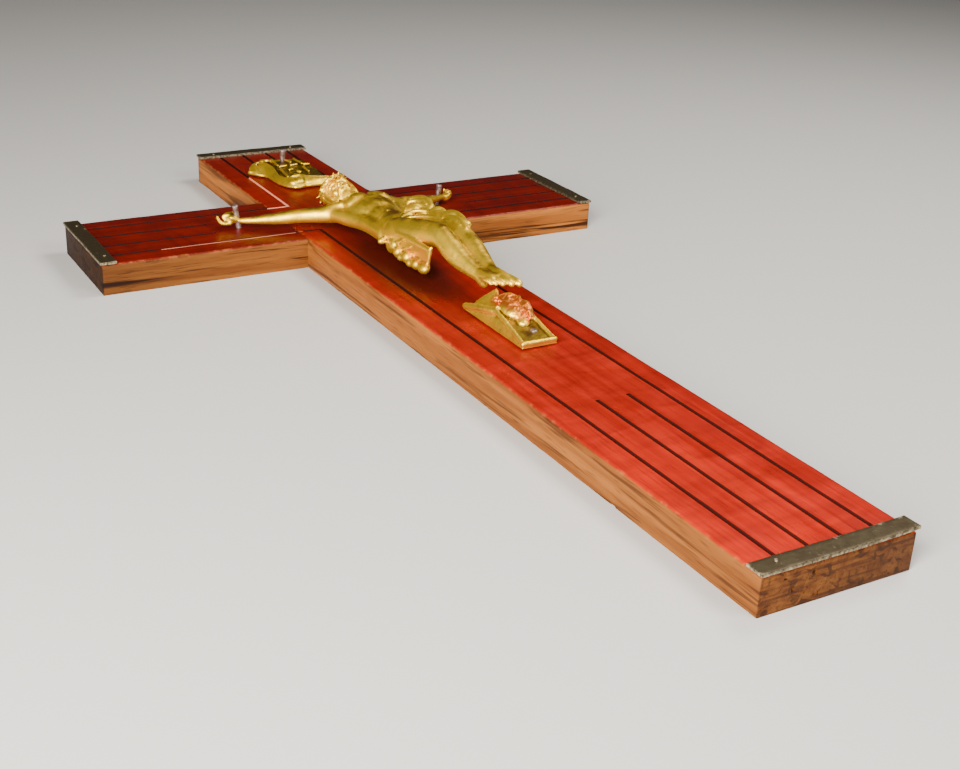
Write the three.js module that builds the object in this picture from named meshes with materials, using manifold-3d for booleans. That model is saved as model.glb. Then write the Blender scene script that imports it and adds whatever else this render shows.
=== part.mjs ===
// A wooden crucifix for a wall or an altar table: two half-lapped hardwood boards with a stained,
// grooved face, a metal strip across each end, and three gilded castings (figure, scroll, foot rest)
// held by nails.
// Millimetres. The cross lies on its back: +X along the arms, +Y up the cross, +Z out of its face.
// The origin is at mid-length and mid-width, on the back face.

import * as THREE from 'three';
import { mergeVertices } from 'three/addons/utils/BufferGeometryUtils.js';
import Module from 'manifold-3d';

const wasm = await Module();
wasm.setup();

// ---------- driving dimensions ----------

const crossLength = 300;
const crossWidth = 160;
const boardWidth = 38.4;
const boardThickness = 9;
const crossbarCentreY = 73.1;
const lapGap = 0.1;
const fitGap = 0.3;

const grooveWidth = 1.1;
const grooveDepth = 0.7;
const outerGrooveOffset = 12.3;
const innerGrooveOffset = 4.2;
const footInnerGrooveStart = -75;
const topInnerGrooveStart = 120;
const armInnerGrooveStart = 42;

const stripWidth = 4.6;
const stripThickness = 0.9;
const stripOverhang = 0.4;
const stripLift = 0.05;
const bradRadius = 0.6;
const bradInset = 5;
const bradDepth = 5;
const bradProud = 0.15;

const nailRadius = 0.85;
const nailDepth = 5.5;
const handNail = { x: 34, y: 71.2, top: 7, lean: 9 };
const farHandNail = { x: 32.1, y: 70.4, top: 6.4, lean: 8 };
const scrollNail = { x: 3, y: 127.3, top: 6.2, lean: 0 };
const footRestNail = { x: 1.4, y: -38.5, top: 3.4, lean: 0 };

const halfLength = crossLength / 2;
const halfWidth = crossWidth / 2;
const halfBoard = boardWidth / 2;
const face = boardThickness;
const lapHeight = boardThickness / 2;

// ---------- solids: conversion, cutting and joining ----------

function toSolid(geometry) {
  const bare = geometry.index ? geometry.clone() : mergeVertices(geometry.clone());
  bare.deleteAttribute('normal');
  bare.deleteAttribute('uv');
  const merged = mergeVertices(bare, 1e-4);
  return new wasm.Manifold(new wasm.Mesh({
    numProp: 3,
    vertProperties: new Float32Array(merged.attributes.position.array),
    triVerts: new Uint32Array(merged.index.array),
  }));
}

function toGeometry(solid) {
  const mesh = solid.getMesh();
  const geometry = new THREE.BufferGeometry();
  geometry.setAttribute('position', new THREE.BufferAttribute(new Float32Array(mesh.vertProperties), 3));
  geometry.setIndex(new THREE.BufferAttribute(new Uint32Array(mesh.triVerts), 1));
  geometry.computeVertexNormals();
  return geometry;
}

function join(geometries) {
  const solids = geometries.map(toSolid);
  return solids.reduce((whole, next) => whole.add(next));
}

function cut(solid, geometries) {
  return geometries.map(toSolid).reduce((rest, tool) => rest.subtract(tool), solid);
}

// ---------- basic shapes ----------

function boxBetween(low, high) {
  const size = high.map((value, axis) => value - low[axis]);
  const box = new THREE.BoxGeometry(...size);
  return box.translate(...low.map((value, axis) => value + size[axis] / 2));
}

// A V-shaped cutter whose sharp edge lies along the line from start to end, both given as [x, y].
function grooveCutter(start, end) {
  const above = 1;
  const halfTop = (grooveWidth / 2) * (1 + above / grooveDepth);
  const section = new THREE.Shape();
  section.moveTo(0, -grooveDepth);
  section.lineTo(halfTop, above);
  section.lineTo(-halfTop, above);
  section.closePath();
  const run = new THREE.Vector2(end[0] - start[0], end[1] - start[1]);
  const cutter = new THREE.ExtrudeGeometry(section, { depth: run.length(), bevelEnabled: false });
  cutter.rotateX(Math.PI / 2);
  cutter.rotateZ(run.angle() + Math.PI / 2);
  return cutter.translate(start[0], start[1], face);
}

// A tapered limb with round ends, from one point to another.
function roundedLimb(start, end, startRadius, endRadius) {
  const sides = 8;
  const capSteps = 2;
  const from = new THREE.Vector3(...start);
  const to = new THREE.Vector3(...end);
  const length = from.distanceTo(to);
  const profile = [];
  for (let step = 0; step <= capSteps; step += 1) {
    const angle = (step / capSteps) * (Math.PI / 2);
    profile.push(new THREE.Vector2(startRadius * Math.sin(angle), -startRadius * Math.cos(angle)));
  }
  for (let step = capSteps; step >= 0; step -= 1) {
    const angle = (step / capSteps) * (Math.PI / 2);
    profile.push(new THREE.Vector2(endRadius * Math.sin(angle), length + endRadius * Math.cos(angle)));
  }
  profile[0].x = 0;
  profile[profile.length - 1].x = 0;
  const limb = new THREE.LatheGeometry(profile, sides);
  const turn = new THREE.Quaternion();
  turn.setFromUnitVectors(new THREE.Vector3(0, 1, 0), to.clone().sub(from).normalize());
  limb.applyQuaternion(turn);
  return limb.translate(from.x, from.y, from.z);
}

function ellipsoid(centre, radii) {
  const ball = new THREE.SphereGeometry(1, 12, 8);
  ball.scale(...radii);
  return ball.translate(...centre);
}

// A chain of limbs through stations of [x, y, height above the face, radius].
function limbChain(stations) {
  const parts = [];
  for (let index = 1; index < stations.length; index += 1) {
    const [startX, startY, startHeight, startRadius] = stations[index - 1];
    const [endX, endY, endHeight, endRadius] = stations[index];
    parts.push(roundedLimb(
      [startX, startY, face + startHeight],
      [endX, endY, face + endHeight],
      startRadius,
      endRadius,
    ));
  }
  return parts;
}

// ---------- nails and brads ----------

// A round wire nail with a domed end and a point, made upright with its axis on Z and z = 0 at the face.
function nailGeometry(radius, top, depth) {
  const sides = 14;
  const dome = radius * 0.5;
  const point = radius * 2.2;
  const profile = [
    new THREE.Vector2(0, -depth),
    new THREE.Vector2(radius * 0.35, -depth + point * 0.4),
    new THREE.Vector2(radius, -depth + point),
    new THREE.Vector2(radius, top - dome),
    new THREE.Vector2(radius * 0.7, top - dome * 0.3),
    new THREE.Vector2(0, top),
  ];
  return new THREE.LatheGeometry(profile, sides).rotateX(Math.PI / 2);
}

// Leans a nail towards +X by its own angle (negative towards -X) and stands it at its place.
function placeNail(geometry, nail, side) {
  geometry.rotateY(THREE.MathUtils.degToRad(nail.lean * side));
  return geometry.translate(nail.x * (side || 1), nail.y, face);
}

function nailHole(nail, side) {
  return placeNail(nailGeometry(nailRadius + fitGap, nail.top + 4, nailDepth + fitGap), nail, side);
}

function bradPositions(end) {
  const across = halfBoard - bradInset;
  const inward = stripWidth / 2;
  return [-across, across].map((offset) => {
    if (end === 'foot') return [offset, -halfLength + inward];
    if (end === 'top') return [offset, halfLength - inward];
    const x = end === 'left' ? -halfWidth + inward : halfWidth - inward;
    return [x, crossbarCentreY + offset];
  });
}

function bradGeometry(extra) {
  const brad = new THREE.CylinderGeometry(bradRadius + extra, bradRadius + extra, 1, 10);
  brad.rotateX(Math.PI / 2);
  const low = face - bradDepth - extra;
  const high = face + stripLift + stripThickness + bradProud + extra * 4;
  brad.scale(1, 1, high - low);
  return brad.translate(0, 0, (high + low) / 2);
}

// ---------- the two boards ----------

const upright = halfBoard;
const armLow = crossbarCentreY - halfBoard;
const armHigh = crossbarCentreY + halfBoard;
const sides = [-1, 1];

// All the decorative grooves: an outer pair that follows the outline, and short inner pairs.
function grooves() {
  const cutters = [];
  const lowRow = crossbarCentreY - outerGrooveOffset;
  const highRow = crossbarCentreY + outerGrooveOffset;
  for (const side of sides) {
    const outerX = side * outerGrooveOffset;
    const innerX = side * innerGrooveOffset;
    const innerY = crossbarCentreY + side * innerGrooveOffset;
    cutters.push(grooveCutter([outerX, -halfLength - 1], [outerX, lowRow]));
    cutters.push(grooveCutter([outerX, highRow], [outerX, halfLength + 1]));
    cutters.push(grooveCutter([outerX, lowRow], [side * (halfWidth + 1), lowRow]));
    cutters.push(grooveCutter([outerX, highRow], [side * (halfWidth + 1), highRow]));
    cutters.push(grooveCutter([innerX, -halfLength - 1], [innerX, footInnerGrooveStart]));
    cutters.push(grooveCutter([innerX, topInnerGrooveStart], [innerX, halfLength + 1]));
    cutters.push(grooveCutter([-halfWidth - 1, innerY], [-armInnerGrooveStart, innerY]));
    cutters.push(grooveCutter([armInnerGrooveStart, innerY], [halfWidth + 1, innerY]));
  }
  return cutters;
}

function bradHoles(ends) {
  const holes = [];
  for (const end of ends) {
    for (const [x, y] of bradPositions(end)) {
      holes.push(bradGeometry(fitGap).translate(x, y, 0));
    }
  }
  return holes;
}

// The upright runs the full length on the face; its back is halved where the crossbar passes.
function uprightBoard() {
  const board = toSolid(boxBetween([-upright, -halfLength, 0], [upright, halfLength, face]));
  const lap = boxBetween([-upright - 1, armLow - lapGap, -1], [upright + 1, armHigh + lapGap, lapHeight + lapGap]);
  const holes = [nailHole(scrollNail, 0), nailHole(footRestNail, 0)];
  return toGeometry(cut(board, [lap, ...grooves(), ...holes, ...bradHoles(['foot', 'top'])]));
}

// The crossbar is halved on its face, so that only its ends show from the front.
function crossbarBoard() {
  const board = toSolid(boxBetween([-halfWidth, armLow, 0], [halfWidth, armHigh, face]));
  const lap = boxBetween([-upright - lapGap, armLow - 1, lapHeight], [upright + lapGap, armHigh + 1, face + 2]);
  const holes = [nailHole(handNail, -1), nailHole(farHandNail, 1)];
  return toGeometry(cut(board, [lap, ...grooves(), ...holes, ...bradHoles(['left', 'right'])]));
}

// ---------- end strips ----------

// A flat strip with a chamfered top, laid across the face at one end and held by two brads.
function endStrip(end) {
  const length = boardWidth + 2 * stripOverhang;
  const chamfer = 0.3;
  const bottom = face + stripLift;
  const top = bottom + stripThickness;
  const section = new THREE.Shape();
  section.moveTo(0, bottom);
  section.lineTo(stripWidth, bottom);
  section.lineTo(stripWidth, top - chamfer);
  section.lineTo(stripWidth - chamfer, top);
  section.lineTo(chamfer, top);
  section.lineTo(0, top - chamfer);
  section.closePath();
  const strip = new THREE.ExtrudeGeometry(section, { depth: length, bevelEnabled: false });
  strip.rotateX(Math.PI / 2);
  strip.translate(0, length / 2, 0);
  if (end === 'left') strip.translate(-halfWidth - stripOverhang, crossbarCentreY, 0);
  if (end === 'right') strip.translate(halfWidth + stripOverhang - stripWidth, crossbarCentreY, 0);
  if (end === 'foot') strip.rotateZ(Math.PI / 2).translate(0, -halfLength - stripOverhang, 0);
  if (end === 'top') strip.rotateZ(Math.PI / 2).translate(0, halfLength + stripOverhang - stripWidth, 0);
  return toGeometry(cut(toSolid(strip), bradHoles([end])));
}

// ---------- the cast figure ----------


// Both arms share their stations; only the near hand has a finger that reaches further.
function armParts(side, reach) {
  return limbChain([
    [0, 54.5, 6.4, 4.4],
    [side * 7.9, 56, 5.8, 3],
    [side * 14.5, 59.6, 5, 2.4],
    [side * 21.5, 62.6, 4.3, 2.1],
    [side * 28, 66.4, 3.2, 1.6],
    [side * 32.4, 68.9, 2.7, 1.3],
    [side * 36, 71.2, 2.8, 1.9],
    [side * reach, 71.3, 2.8, 1],
  ]);
}

function legParts(hipX, kneeX, kneeHeight, ankleX, toeX, toeY) {
  return limbChain([
    [hipX, 30, 7, 4.6],
    [hipX * 0.5 + kneeX * 0.5, 20, kneeHeight - 2.6, 4.1],
    [kneeX, 9.3, kneeHeight, 3.4],
    [kneeX * 0.6 + ankleX * 0.4, 2, kneeHeight * 0.5 + 3.4, 3.1],
    [ankleX, -9.6, 7, 1.9],
    [toeX, toeY, 7.7, 1.7],
  ]);
}

function torsoParts() {
  return [
    ellipsoid([0, 51, face + 6.8], [8.6, 7.4, 6.2]),
    ellipsoid([0.3, 43.5, face + 6.6], [6.6, 7.6, 5]),
    ellipsoid([0.8, 33.5, face + 7.4], [7.4, 8.4, 6.2]),
  ];
}

function headParts() {
  return [
    ...limbChain([[-0.6, 57, 7.6, 3.2], [-2.8, 63, 8.6, 3], [-3.8, 67.3, 9, 4.9]]),
    ellipsoid([-4, 68.5, face + 9], [5, 5.4, 5]),
  ];
}

// The loincloth: a roll round the hips and down the far thigh, and a flap that hangs at the near hip.
function clothParts() {
  const flap = new THREE.Shape();
  flap.moveTo(29, 4.2);
  flap.lineTo(29, 9.2);
  flap.lineTo(18, 10);
  flap.lineTo(6.6, 10);
  flap.lineTo(6.4, 3.2);
  flap.lineTo(20, 3.2);
  flap.closePath();
  const flapThickness = 2.6;
  const flapX = -5.6;
  const flapGeometry = new THREE.ExtrudeGeometry(flap, { depth: flapThickness, bevelEnabled: false });
  flapGeometry.rotateY(Math.PI / 2);
  flapGeometry.rotateX(Math.PI / 2);
  flapGeometry.translate(flapX, 0, face);
  return [
    flapGeometry,
    ...limbChain([[-7.6, 28, 6.2, 1.2], [-4.4, 28.6, 9, 1.4], [2, 33.8, 11.4, 1.6], [8, 38.6, 12.2, 2.2]]),
    ...limbChain([[8, 38.6, 12.2, 2.2], [8.6, 30, 12.2, 2.2], [8.6, 20, 13.4, 1.9], [7.8, 9, 14, 1.5]]),
  ];
}

// One casting, with a hole through each palm for its nail.
function corpus() {
  const parts = [
    ...torsoParts(),
    ...headParts(),
    ...armParts(-1, 40.4),
    ...armParts(1, 37.2),
    ...legParts(-2.4, 0.3, 12.6, 2.4, 2.2, -17.6),
    ...legParts(4.7, 6.8, 11.6, 5.8, 6.6, -19.2),
    ...clothParts(),
  ];
  return toGeometry(cut(join(parts), [nailHole(handNail, -1), nailHole(farHandNail, 1)]));
}

// ---------- scroll and foot rest ----------

// The title scroll: a wavy plate with rolled ends, lying on the top arm.
function titulusScroll() {
  const plateThickness = 1.6;
  const lift = 0.35;
  const outline = new THREE.Shape();
  outline.moveTo(-11.6, 119);
  outline.bezierCurveTo(-9, 113, -7.5, 109, -3.5, 102.6);
  outline.lineTo(11.4, 101.6);
  outline.lineTo(11.8, 104.6);
  outline.bezierCurveTo(9.4, 110, 11.4, 118, 9.4, 128.4);
  outline.lineTo(-4.4, 129);
  outline.closePath();
  const plate = new THREE.ExtrudeGeometry(outline, {
    depth: plateThickness,
    bevelEnabled: false,
    curveSegments: 6,
  });
  plate.translate(0, 0, face + lift);
  const nearRoll = limbChain([[-11, 120.6, 2.2, 1.6], [-4.4, 128.4, 2.6, 1.6]]);
  const lowRoll = limbChain([[-3, 103, 2, 1.5], [3.6, 103, 2.4, 1.5]]);
  return toGeometry(cut(join([plate, ...nearRoll, ...lowRoll]), [nailHole(scrollNail, 0)]));
}

// The foot rest: a wedge whose thick end faces the feet, with a slab on its top and a worn boss.
function footRest() {
  const halfRestWidth = 5.2;
  const lift = 0.35;
  const side = new THREE.Shape();
  side.moveTo(-14, lift);
  side.lineTo(-14, 2.4);
  side.lineTo(-25.5, 5.4);
  side.lineTo(-27.5, 5);
  side.lineTo(-44, 1.7);
  side.lineTo(-44, lift);
  side.closePath();
  const wedge = new THREE.ExtrudeGeometry(side, { depth: halfRestWidth * 2, bevelEnabled: false });
  wedge.rotateY(Math.PI / 2);
  wedge.rotateX(Math.PI / 2);
  wedge.translate(-halfRestWidth, 0, face);
  const boss = ellipsoid([0.6, -29, face + 4.2], [4, 6.4, 2.6]);
  return toGeometry(cut(join([wedge, boss]), [nailHole(footRestNail, 0)]));
}

// ---------- materials ----------

const stainedWood = new THREE.MeshStandardMaterial({ color: 0x8f2a1a, roughness: 0.4, metalness: 0 });
const giltMetal = new THREE.MeshStandardMaterial({ color: 0xc9a03c, roughness: 0.35, metalness: 0.9 });
const tarnishedMetal = new THREE.MeshStandardMaterial({ color: 0x5c5444, roughness: 0.6, metalness: 0.7 });
const nailSteel = new THREE.MeshStandardMaterial({ color: 0x6e5552, roughness: 0.5, metalness: 0.7 });

// ---------- assembly ----------

const crucifix = new THREE.Group();

function addPiece(name, geometry, material) {
  const mesh = new THREE.Mesh(geometry, material);
  mesh.name = name;
  crucifix.add(mesh);
}

function addNail(name, nail, side) {
  const geometry = placeNail(nailGeometry(nailRadius, nail.top, nailDepth), nail, side);
  addPiece(name, toGeometry(toSolid(geometry)), nailSteel);
}

addPiece('upright_board', uprightBoard(), stainedWood);
addPiece('crossbar_board', crossbarBoard(), stainedWood);

for (const end of ['foot', 'top', 'left', 'right']) {
  addPiece(`end_strip_${end}`, endStrip(end), tarnishedMetal);
  bradPositions(end).forEach(([x, y], index) => {
    const brad = toGeometry(toSolid(bradGeometry(0).translate(x, y, 0)));
    addPiece(`strip_brad_${end}_${index + 1}`, brad, tarnishedMetal);
  });
}

addPiece('corpus', corpus(), giltMetal);
addPiece('titulus_scroll', titulusScroll(), giltMetal);
addPiece('foot_rest', footRest(), giltMetal);
addNail('hand_nail_left', handNail, -1);
addNail('hand_nail_right', farHandNail, 1);
addNail('titulus_nail', scrollNail, 0);
addNail('foot_rest_nail', footRestNail, 0);

export default crucifix;
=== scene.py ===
import math

import bpy
from mathutils import Matrix, Vector, noise


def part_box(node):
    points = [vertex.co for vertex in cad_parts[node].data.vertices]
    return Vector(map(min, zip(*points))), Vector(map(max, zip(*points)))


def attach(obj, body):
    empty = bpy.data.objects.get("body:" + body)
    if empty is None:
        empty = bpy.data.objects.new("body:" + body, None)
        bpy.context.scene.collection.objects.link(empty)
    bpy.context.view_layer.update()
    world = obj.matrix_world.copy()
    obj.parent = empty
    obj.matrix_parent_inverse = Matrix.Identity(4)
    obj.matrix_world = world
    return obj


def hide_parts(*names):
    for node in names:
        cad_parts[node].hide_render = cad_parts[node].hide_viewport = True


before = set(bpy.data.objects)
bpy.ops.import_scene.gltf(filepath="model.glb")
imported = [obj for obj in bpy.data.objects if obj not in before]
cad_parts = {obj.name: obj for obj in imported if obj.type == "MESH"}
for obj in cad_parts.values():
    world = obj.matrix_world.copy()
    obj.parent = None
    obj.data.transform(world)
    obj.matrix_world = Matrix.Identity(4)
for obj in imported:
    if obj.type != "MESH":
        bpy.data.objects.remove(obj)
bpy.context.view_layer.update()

MM = 0.001


# ---------------------------------------------------------------- stage
# A plain pale floor, four soft lamps and a low camera beyond the foot of the cross, to its left.
# The cross lies on its back on the floor, as on a photographer's table.

bpy.ops.object.select_all(action="DESELECT")
bpy.ops.mesh.primitive_plane_add(size=6, location=(0, 0, 0))
floor = bpy.context.object
floor.name = "floor"
floor_paint = bpy.data.materials.new("floor_paint")
floor_paint.use_nodes = True
floor_shader = floor_paint.node_tree.nodes["Principled BSDF"]
floor_shader.inputs["Base Color"].default_value = (0.62, 0.61, 0.59, 1)
floor_shader.inputs["Roughness"].default_value = 0.9
floor.data.materials.append(floor_paint)

camera_data = bpy.data.cameras.new("camera")
camera_data.lens = 52.4
camera_data.sensor_width = 36
camera_data.clip_start = 0.01
camera = bpy.data.objects.new("camera", camera_data)
bpy.context.collection.objects.link(camera)
camera_place = Vector((-0.1737, -0.3074, 0.1407))
camera_sight = Vector((0.46686, 0.78278, -0.41144)).normalized()
camera_right = Vector((0.86815, -0.49428, 0.04469)).normalized()
camera_up = camera_right.cross(camera_sight).normalized()
camera.matrix_world = Matrix((
    (camera_right.x, camera_up.x, -camera_sight.x, camera_place.x),
    (camera_right.y, camera_up.y, -camera_sight.y, camera_place.y),
    (camera_right.z, camera_up.z, -camera_sight.z, camera_place.z),
    (0, 0, 0, 1),
))
bpy.context.scene.camera = camera

world = bpy.data.worlds.new("studio")
world.use_nodes = True
world.node_tree.nodes["Background"].inputs["Color"].default_value = (0.75, 0.78, 0.82, 1)
world.node_tree.nodes["Background"].inputs["Strength"].default_value = 0.07
bpy.context.scene.world = world


def soft_lamp(name, place, target, width, watts, colour):
    lamp_data = bpy.data.lights.new(name, "AREA")
    lamp_data.shape = "SQUARE"
    lamp_data.size = width
    lamp_data.energy = watts
    lamp_data.color = colour
    lamp = bpy.data.objects.new(name, lamp_data)
    bpy.context.collection.objects.link(lamp)
    lamp.location = place
    lamp.rotation_euler = (Vector(target) - Vector(place)).to_track_quat("-Z", "Y").to_euler()


soft_lamp("key_lamp", (0.28, 0.0, 0.46), (0, -0.02, 0), 0.2, 2.0, (1.0, 0.96, 0.9))
soft_lamp("side_lamp", (-0.50, -0.38, 0.13), (0, 0.03, 0.01), 0.36, 9.6, (1.0, 0.95, 0.88))
soft_lamp("near_lamp", (-0.26, -0.26, 0.26), (0, 0.05, 0.015), 0.14, 2.5, (1.0, 0.95, 0.88))
soft_lamp("foot_lamp", (0.16, -0.40, 0.36), (0, -0.13, 0), 0.22, 1.6, (1.0, 0.95, 0.88))


# ---------------------------------------------------------------- upright board
# The long board, planed from one piece of hardwood 38 by 9 mm, its face stained red, scored with
# grooves and varnished, its sides and ends left bare. It is halved at the back for the crossbar.

length = 300 * MM
width = 160 * MM
board_width = 38.4 * MM
board_thickness = 9 * MM
crossbar_y = 73.1 * MM
half_board = board_width / 2
outer_groove = 12.3 * MM
inner_groove = 4.2 * MM
groove_half_width = 0.55 * MM
groove_depth = 0.7 * MM
edge_round = 0.8 * MM
edge_break = 0.25 * MM
plane_step = 4 * MM
crossing_gap = 0.3 * MM
merge_distance = 0.02 * MM
foot_groove_start = -75 * MM
top_groove_start = 120 * MM
arm_groove_start = 42 * MM
face_z = board_thickness
# Centre and radii of the painted shadow that darkens the stained face around and below the figure.
painted_shadow_centre = (-4.5 * MM, 21 * MM, face_z)
painted_shadow_radii = (11 * MM, 36 * MM, 4 * MM)
# Stretches of groove wall, from low corner to high corner, that carry a pale pink painted highlight.
painted_glint_runs = (
    ((-outer_groove - 0.5 * MM, 85 * MM), (-outer_groove + 0.5 * MM, 120 * MM)),
    ((-half_board, 84.9 * MM), (-outer_groove, 85.9 * MM)),
    ((-61 * MM, 60.4 * MM), (-20 * MM, 61.2 * MM)),
)


def only(obj):
    bpy.ops.object.select_all(action="DESELECT")
    obj.select_set(True)
    bpy.context.view_layer.objects.active = obj


def add_block(low, high):
    size = Vector(high) - Vector(low)
    bpy.ops.object.select_all(action="DESELECT")
    bpy.ops.mesh.primitive_cube_add(size=1, location=(Vector(high) + Vector(low)) / 2)
    block = bpy.context.object
    block.scale = size
    bpy.ops.object.transform_apply(location=True, rotation=True, scale=True)
    return block


def select_edges(obj, wanted):
    """Selects the edges whose two ends both pass the test wanted(point)."""
    bpy.ops.object.mode_set(mode="OBJECT")
    mesh = obj.data
    for group in (mesh.vertices, mesh.edges, mesh.polygons):
        for item in group:
            item.select = False
    for edge in mesh.edges:
        edge.select = all(wanted(mesh.vertices[index].co) for index in edge.vertices)
    bpy.ops.object.mode_set(mode="EDIT")
    bpy.ops.mesh.select_mode(type="EDGE")


def apply_modifier(obj, kind, **settings):
    only(obj)
    modifier = obj.modifiers.new(kind.lower(), kind)
    for key, value in settings.items():
        setattr(modifier, key, value)
    bpy.ops.object.modifier_apply(modifier=modifier.name)


growth_allowed = 0.01 * MM


def is_sound(obj, length_before):
    """True while every edge has its two faces and the cut hasn't made the piece longer."""
    uses = {}
    for polygon in obj.data.polygons:
        for key in polygon.edge_keys:
            uses[key] = uses.get(key, 0) + 1
    return all(count == 2 for count in uses.values()) and diagonal(obj) < length_before + growth_allowed


def diagonal(obj):
    """The distance between the corners of a piece's box."""
    points = [vertex.co for vertex in obj.data.vertices]
    return math.dist([min(point[axis] for point in points) for axis in range(3)],
                     [max(point[axis] for point in points) for axis in range(3)])


cut_attempts = 8
cut_nudge = Vector((0.0007, 0.0011, 0.0005)) * MM


def cut_away(obj, cutters):
    """Cuts each shape away in turn; a cut that leaves the piece open is made again a hair to one side."""
    for cutter in cutters:
        whole = obj.data.copy()
        length_before = diagonal(obj)
        for attempt in range(cut_attempts):
            apply_modifier(obj, "BOOLEAN", operation="DIFFERENCE", solver="EXACT", object=cutter)
            if is_sound(obj, length_before):
                break
            obj.data = whole.copy()
            cutter.location += cut_nudge
        bpy.data.objects.remove(cutter)


def joined(objects, name):
    bpy.ops.object.select_all(action="DESELECT")
    for obj in objects:
        obj.select_set(True)
    bpy.context.view_layer.objects.active = objects[0]
    if len(objects) > 1:
        bpy.ops.object.join()
    whole = bpy.context.view_layer.objects.active
    whole.name = name
    bpy.ops.object.transform_apply(location=True, rotation=True, scale=True)
    return whole


def groove_cutter(start, end):
    """A square bar turned on its edge, so that it cuts a V along the face."""
    run = Vector(end) - Vector(start)
    bpy.ops.object.select_all(action="DESELECT")
    bpy.ops.mesh.primitive_cylinder_add(vertices=4, radius=1, depth=run.length)
    cutter = bpy.context.object
    cutter.data.transform(Matrix.Diagonal((groove_half_width, groove_depth, 1, 1)))
    cutter.data.transform(Matrix.Rotation(math.pi / 2, 4, "X"))
    cutter.data.transform(Matrix.Rotation(math.atan2(run.y, run.x) - math.pi / 2, 4, "Z"))
    middle = (Vector(start) + Vector(end)) / 2
    cutter.data.transform(Matrix.Translation((middle.x, middle.y, face_z)))
    return cutter


def groove_cutters():
    low_row = crossbar_y - outer_groove
    high_row = crossbar_y + outer_groove
    beyond = 1 * MM
    cutters = []
    for side in (-1, 1):
        outer_x = side * outer_groove
        inner_x = side * inner_groove
        inner_y = crossbar_y + side * inner_groove
        end_x = side * (width / 2 + beyond)
        cutters += [
            groove_cutter((outer_x, -length / 2 - beyond), (outer_x, low_row)),
            groove_cutter((outer_x, high_row), (outer_x, length / 2 + beyond)),
            groove_cutter((outer_x, low_row), (end_x, low_row)),
            groove_cutter((outer_x, high_row), (end_x, high_row)),
            groove_cutter((inner_x, -length / 2 - beyond), (inner_x, foot_groove_start)),
            groove_cutter((inner_x, top_groove_start), (inner_x, length / 2 + beyond)),
            groove_cutter((-width / 2 - beyond, inner_y), (-arm_groove_start, inner_y)),
            groove_cutter((arm_groove_start, inner_y), (width / 2 + beyond, inner_y)),
        ]
    return cutters


# Planing marks, dents and burrs come from noise, seeded so that they fall alike each time.
noise.seed_set(3)


def planed_board(name, low, high, along):
    """A board with its long face edges rounded over by the plane, and slightly uneven by hand."""
    board = add_block(low, high)
    board.name = name
    across = 1 - along
    near, far = low[across], high[across]
    tiny = 1e-6

    def on_long_face_edge(point):
        return point.z > high[2] - tiny and min(abs(point[across] - near), abs(point[across] - far)) < tiny

    select_edges(board, on_long_face_edge)
    bpy.ops.mesh.bevel(offset=edge_round, segments=4, affect="EDGES")
    bpy.ops.object.mode_set(mode="OBJECT")

    def on_other_edge(point):
        return point.z < low[2] + tiny or min(abs(point[along] - low[along]),
                                              abs(point[along] - high[along])) < tiny

    select_edges(board, on_other_edge)
    bpy.ops.mesh.bevel(offset=edge_break, segments=2, affect="EDGES")
    normal = [0, 0, 0]
    normal[along] = 1
    station = low[along] + plane_step
    while station < high[along] - 2 * MM:
        place = [0, 0, 0]
        place[along] = station
        bpy.ops.mesh.select_all(action="SELECT")
        bpy.ops.mesh.bisect(plane_co=place, plane_no=normal)
        station += plane_step
    bpy.ops.object.mode_set(mode="OBJECT")
    for vertex in board.data.vertices:
        point = vertex.co
        shift = noise.noise_vector(Vector((point.x * 60, point.y * 60, point.z * 90)))
        inward = -abs(shift[across]) if point[across] > (near + far) / 2 else abs(shift[across])
        point[across] += inward * 0.16 * MM
        if point.z > high[2] - 1.5 * MM:
            point.z -= abs(shift.z) * 0.14 * MM
    return board


def square_up_crossing(board):
    """Inside the crossing the upright keeps square edges, because the crossbar's face meets it there."""
    for vertex in board.data.vertices:
        point = vertex.co
        if abs(point.y - crossbar_y) < half_board + crossing_gap and abs(point.x) > half_board - 1.2 * MM:
            if point.z > face_z - 1.2 * MM:
                point.x = math.copysign(half_board, point.x)
                point.z = max(point.z, face_z - 0.05 * MM)
    only(board)
    bpy.ops.object.mode_set(mode="EDIT")
    bpy.ops.mesh.select_all(action="SELECT")
    bpy.ops.mesh.dissolve_degenerate(threshold=merge_distance)
    bpy.ops.mesh.remove_doubles(threshold=merge_distance)
    bpy.ops.object.mode_set(mode="OBJECT")


def edge_nicks(places):
    """Small dents knocked into the edges, each at (x, y, z, size) in millimetres."""
    nicks = []
    for x, y, z, size in places:
        bpy.ops.object.select_all(action="DESELECT")
        bpy.ops.mesh.primitive_ico_sphere_add(subdivisions=2, radius=size * MM,
                                              location=(x * MM, y * MM, z * MM))
        nick = bpy.context.object
        nick.scale = (1.0, 1.9, 0.8) if abs(x) < 20 else (1.9, 1.0, 0.8)
        bpy.ops.object.transform_apply(location=True, rotation=True, scale=True)
        for vertex in nick.data.vertices:
            vertex.co += noise.noise_vector(vertex.co * 1500) * 0.25 * size * MM
        nicks.append(nick)
    return nicks


def add_node(tree, kind, inputs=None, **settings):
    node = tree.nodes.new(kind)
    for key, value in settings.items():
        setattr(node, key, value)
    for key, value in (inputs or {}).items():
        if isinstance(value, bpy.types.NodeSocket):
            tree.links.new(value, node.inputs[key])
        else:
            node.inputs[key].default_value = value
    return node


def mix_colour(tree, factor, first, second, blend="MIX"):
    node = add_node(tree, "ShaderNodeMix", {"Factor": factor}, data_type="RGBA", blend_type=blend)
    for index, value in ((6, first), (7, second)):
        if isinstance(value, bpy.types.NodeSocket):
            tree.links.new(value, node.inputs[index])
        else:
            node.inputs[index].default_value = value
    return node.outputs[2]


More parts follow.
